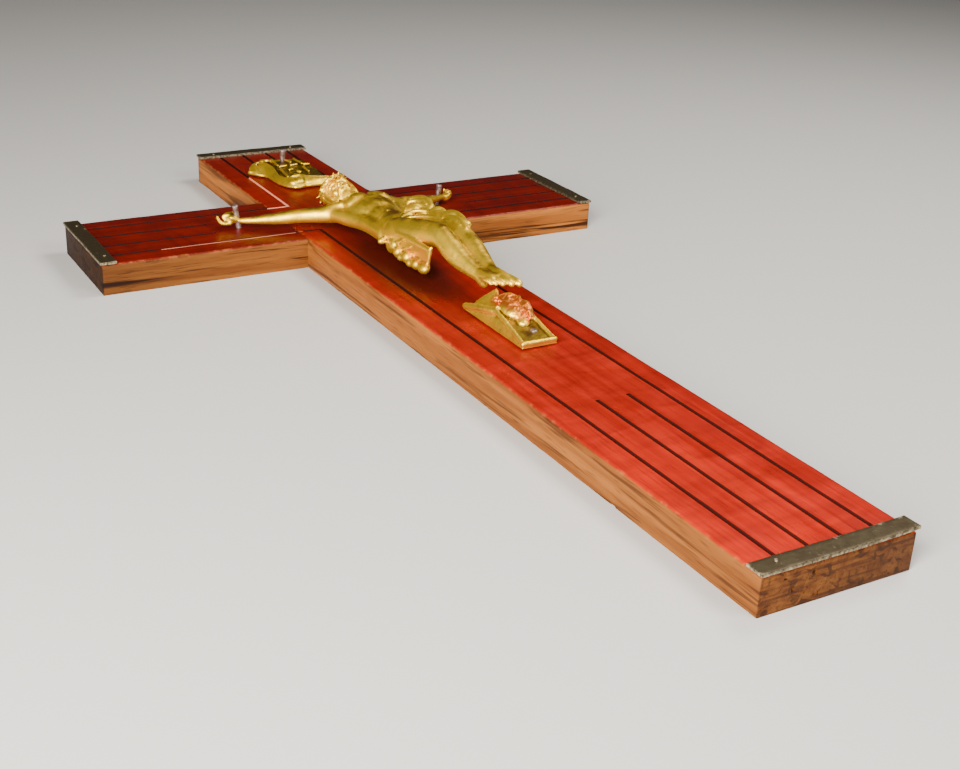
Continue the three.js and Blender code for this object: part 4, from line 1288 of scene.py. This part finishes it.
# Head, made upright in its own frame (x across, y to the crown, z out of the face) and then tilted.
hair_line = ((5.0, 0.5), (4.5, 2.1), (3.5, 3.2), (2.0, 3.75), (0.4, 3.9), (-1.4, 3.85), (-3.2, 3.6),
             (-4.8, 3.1), (-6.0, 2.4))
face_parts = [
    ball((0, 0.4, 0.2), (3.0, 4.1, 3.3)), ball((0, -2.3, 1.7), (2.1, 2.5, 1.9)),
    ball((0, -4.1, 2.2), (1.3, 1.0, 1.3)),
    ball((0, 2.0, 1.6), (2.6, 1.9, 1.9)),
    rod([(-2.1, 0.55, 2.7, 0.4), (-1.1, 0.95, 3.3, 0.42), (0, 0.8, 3.4, 0.4)], 4),
    rod([(2.1, 0.55, 2.7, 0.4), (1.1, 0.95, 3.3, 0.42), (0, 0.8, 3.4, 0.4)], 4),
    rod([(0, 0.8, 3.35, 0.4), (0, -0.4, 3.8, 0.42), (0, -1.25, 4.25, 0.46)], 5),
    ball((-0.42, -1.45, 3.85), (0.34, 0.28, 0.34)), ball((0.42, -1.45, 3.85), (0.34, 0.28, 0.34)),
    rod([(-0.85, -2.62, 3.5, 0.2), (0, -2.5, 3.8, 0.28), (0.85, -2.62, 3.5, 0.2)], 4),
    rod([(-0.65, -3.0, 3.45, 0.2), (0, -3.08, 3.7, 0.3), (0.65, -3.0, 3.45, 0.2)], 4),
]
for side in (-1, 1):
    face_parts += [
        ball((side * 1.6, -1.3, 2.2), (1.05, 1.2, 0.95)),
        ball((side * 1.15, -0.05, 2.85), (0.78, 0.5, 0.55)),
        rod([(side * 0.5, -0.35, 3.15, 0.16), (side * 1.2, -0.55, 3.35, 0.2),
             (side * 1.95, -0.3, 2.85, 0.16)], 4),
    ]
face_cast = fuse(face_parts, "face", 0.15 * MM, 3)
for side in (-1, 1):
    press(face_cast, (side * 1.2, -0.85, 3.1), (0.6, 0.14, 0.5), (0, 0, -0.3))
    press(face_cast, (side * 1.2, 0.45, 3.0), (0.6, 0.14, 0.5), (0, 0, -0.25))
head_parts = [face_cast, ball((0, 1.3, -0.9), (3.45, 3.5, 3.6))]
for side in (-1, 1):
    head_parts += [
        rod([(side * 0.1, -1.95, 3.9, 0.24), (side * 1.0, -2.25, 3.6, 0.3), (side * 1.75, -3.3, 2.7, 0.26)],
            4),
        rod([(side * 2.7, -0.5, 0.2, 1.1), (side * 2.9, -3.0, -0.2, 1.2), (side * 2.4, -5.0, 0.0, 0.7)], 5),
    ]
    for lock in range(5):
        out = 0.25 + 0.5 * lock
        curl = strand_noise(lock + 3 * side, 2)
        head_parts.append(rod([
            (side * out, -3.4 + 0.22 * lock, 3.15 - 0.34 * lock, 0.4),
            (side * (out * 0.9 + 0.15), -4.7 + 0.2 * lock, 3.1 - 0.32 * lock, 0.4),
            (side * (out * 0.5 + 0.2) + curl.x * 0.3, -6.1 + 0.4 * lock, 2.8 - 0.25 * lock, 0.24),
        ], 4))
    # Locks parted in the middle, combed back from the face and falling in waves to the shoulders.
    for lock in range(12):
        around = math.radians(14 + 14.2 * lock)
        swept = max(around, math.radians(62))
        wave = strand_noise(lock, side)
        stations = []
        for step, (y, spread) in enumerate(hair_line):
            share = min(1, step / 4)
            turn = around + (swept - around) * share + 0.07 * math.sin(step * 1.5 + lock * 1.9)
            reach = spread + 0.2 * math.sin(step * 1.8 + lock * 2.3 + wave.x)
            stations.append((side * math.sin(turn) * reach, y + wave.y * 0.3,
                             math.cos(turn) * reach * 1.05 - 0.5,
                             0.4 if step < len(hair_line) - 1 else 0.28))
        head_parts.append(rod(stations, 4))
for ring in range(2):
    stations = []
    for index in range(25):
        turn = index / 24 * 2 * math.pi
        wave = math.sin(turn * 6 + ring * math.pi)
        stations.append(((4.0 + 0.28 * wave) * math.sin(turn),
                         2.5 + 0.42 * math.cos(turn * 6 + ring * math.pi)
                         - 0.5 * math.cos(turn), -0.1 + (4.45 + 0.28 * wave) * math.cos(turn), 0.4))
    head_parts.append(rod(stations, 4))
for number in range(15):
    turn = number / 15 * 2 * math.pi + 0.2
    outward = Vector((math.sin(turn), 0.3 * math.sin(number * 2.3), math.cos(turn)))
    root = Vector((4.1 * math.sin(turn), 2.5 - 0.5 * math.cos(turn), 4.5 * math.cos(turn)))
    tip = root + outward * (1.15 + 0.35 * math.sin(number * 1.9))
    head_parts.append(rod([(*root, 0.34), (*((root + tip) / 2), 0.24), (*tip, 0.12)], 3))
head = fuse(head_parts, "head", head_voxel, 1)
head_centre = Vector((-3.7, 66.6, 8.5)) * MM + Vector((0, 0, face_z))
head_scale = 1.14
head_front = Vector((-0.34, -0.34, 0.88)).normalized()
head_up = Vector((-0.24, 0.95, 0.2))
head_up = (head_up - head_front * head_up.dot(head_front)).normalized()
head_side = head_up.cross(head_front)
head_turn = Matrix((head_side, head_up, head_front)).transposed().to_4x4()
head.data.transform(Matrix.Translation(head_centre) @ head_turn @ Matrix.Scale(head_scale, 4)
                    @ Matrix.Translation((0, 0, -face_z)))
figure = joined([figure, head], "figure")
apply_modifier(figure, "DECIMATE", ratio=triangles_kept)
for vertex in figure.data.vertices:
    vertex.co += noise.noise_vector(vertex.co * 900) * 0.035 * MM


def is_bare_skin(x, y, height):
    """Trunk, arms and legs, but not the cloth, the head or the toes; in millimetres."""
    on_rope = 5 < y < 43 and x > 2.2 and (height > 11.4 or x > 7)
    on_flap = 5 < y < 31 and x < -3.6 and height < 10.8
    on_head = y > 59 and -9.5 < x < 3
    return not (on_rope or on_flap or on_head or y < -15)


skin_share = figure.data.attributes.new("skin", "FLOAT", "POINT")
for vertex, share in zip(figure.data.vertices, skin_share.data):
    share.value = is_bare_skin(vertex.co.x / MM, vertex.co.y / MM, (vertex.co.z - face_z) / MM)
# A soft painted orange reflection on the flap's tip, laid in the copper colour.
flap_reflection_centre = (-4.5 * MM, 11 * MM, face_z + 6.6 * MM)
flap_reflection_radii = (2.5 * MM, 6.5 * MM, 2.4 * MM)
figure_gilding = gilt_finish("gilt_corpus", 0.9, 0.2, (flap_reflection_centre, flap_reflection_radii, 0.35))
hand_in(figure, "corpus_casting", figure_gilding, "gilt_metal", "corpus")
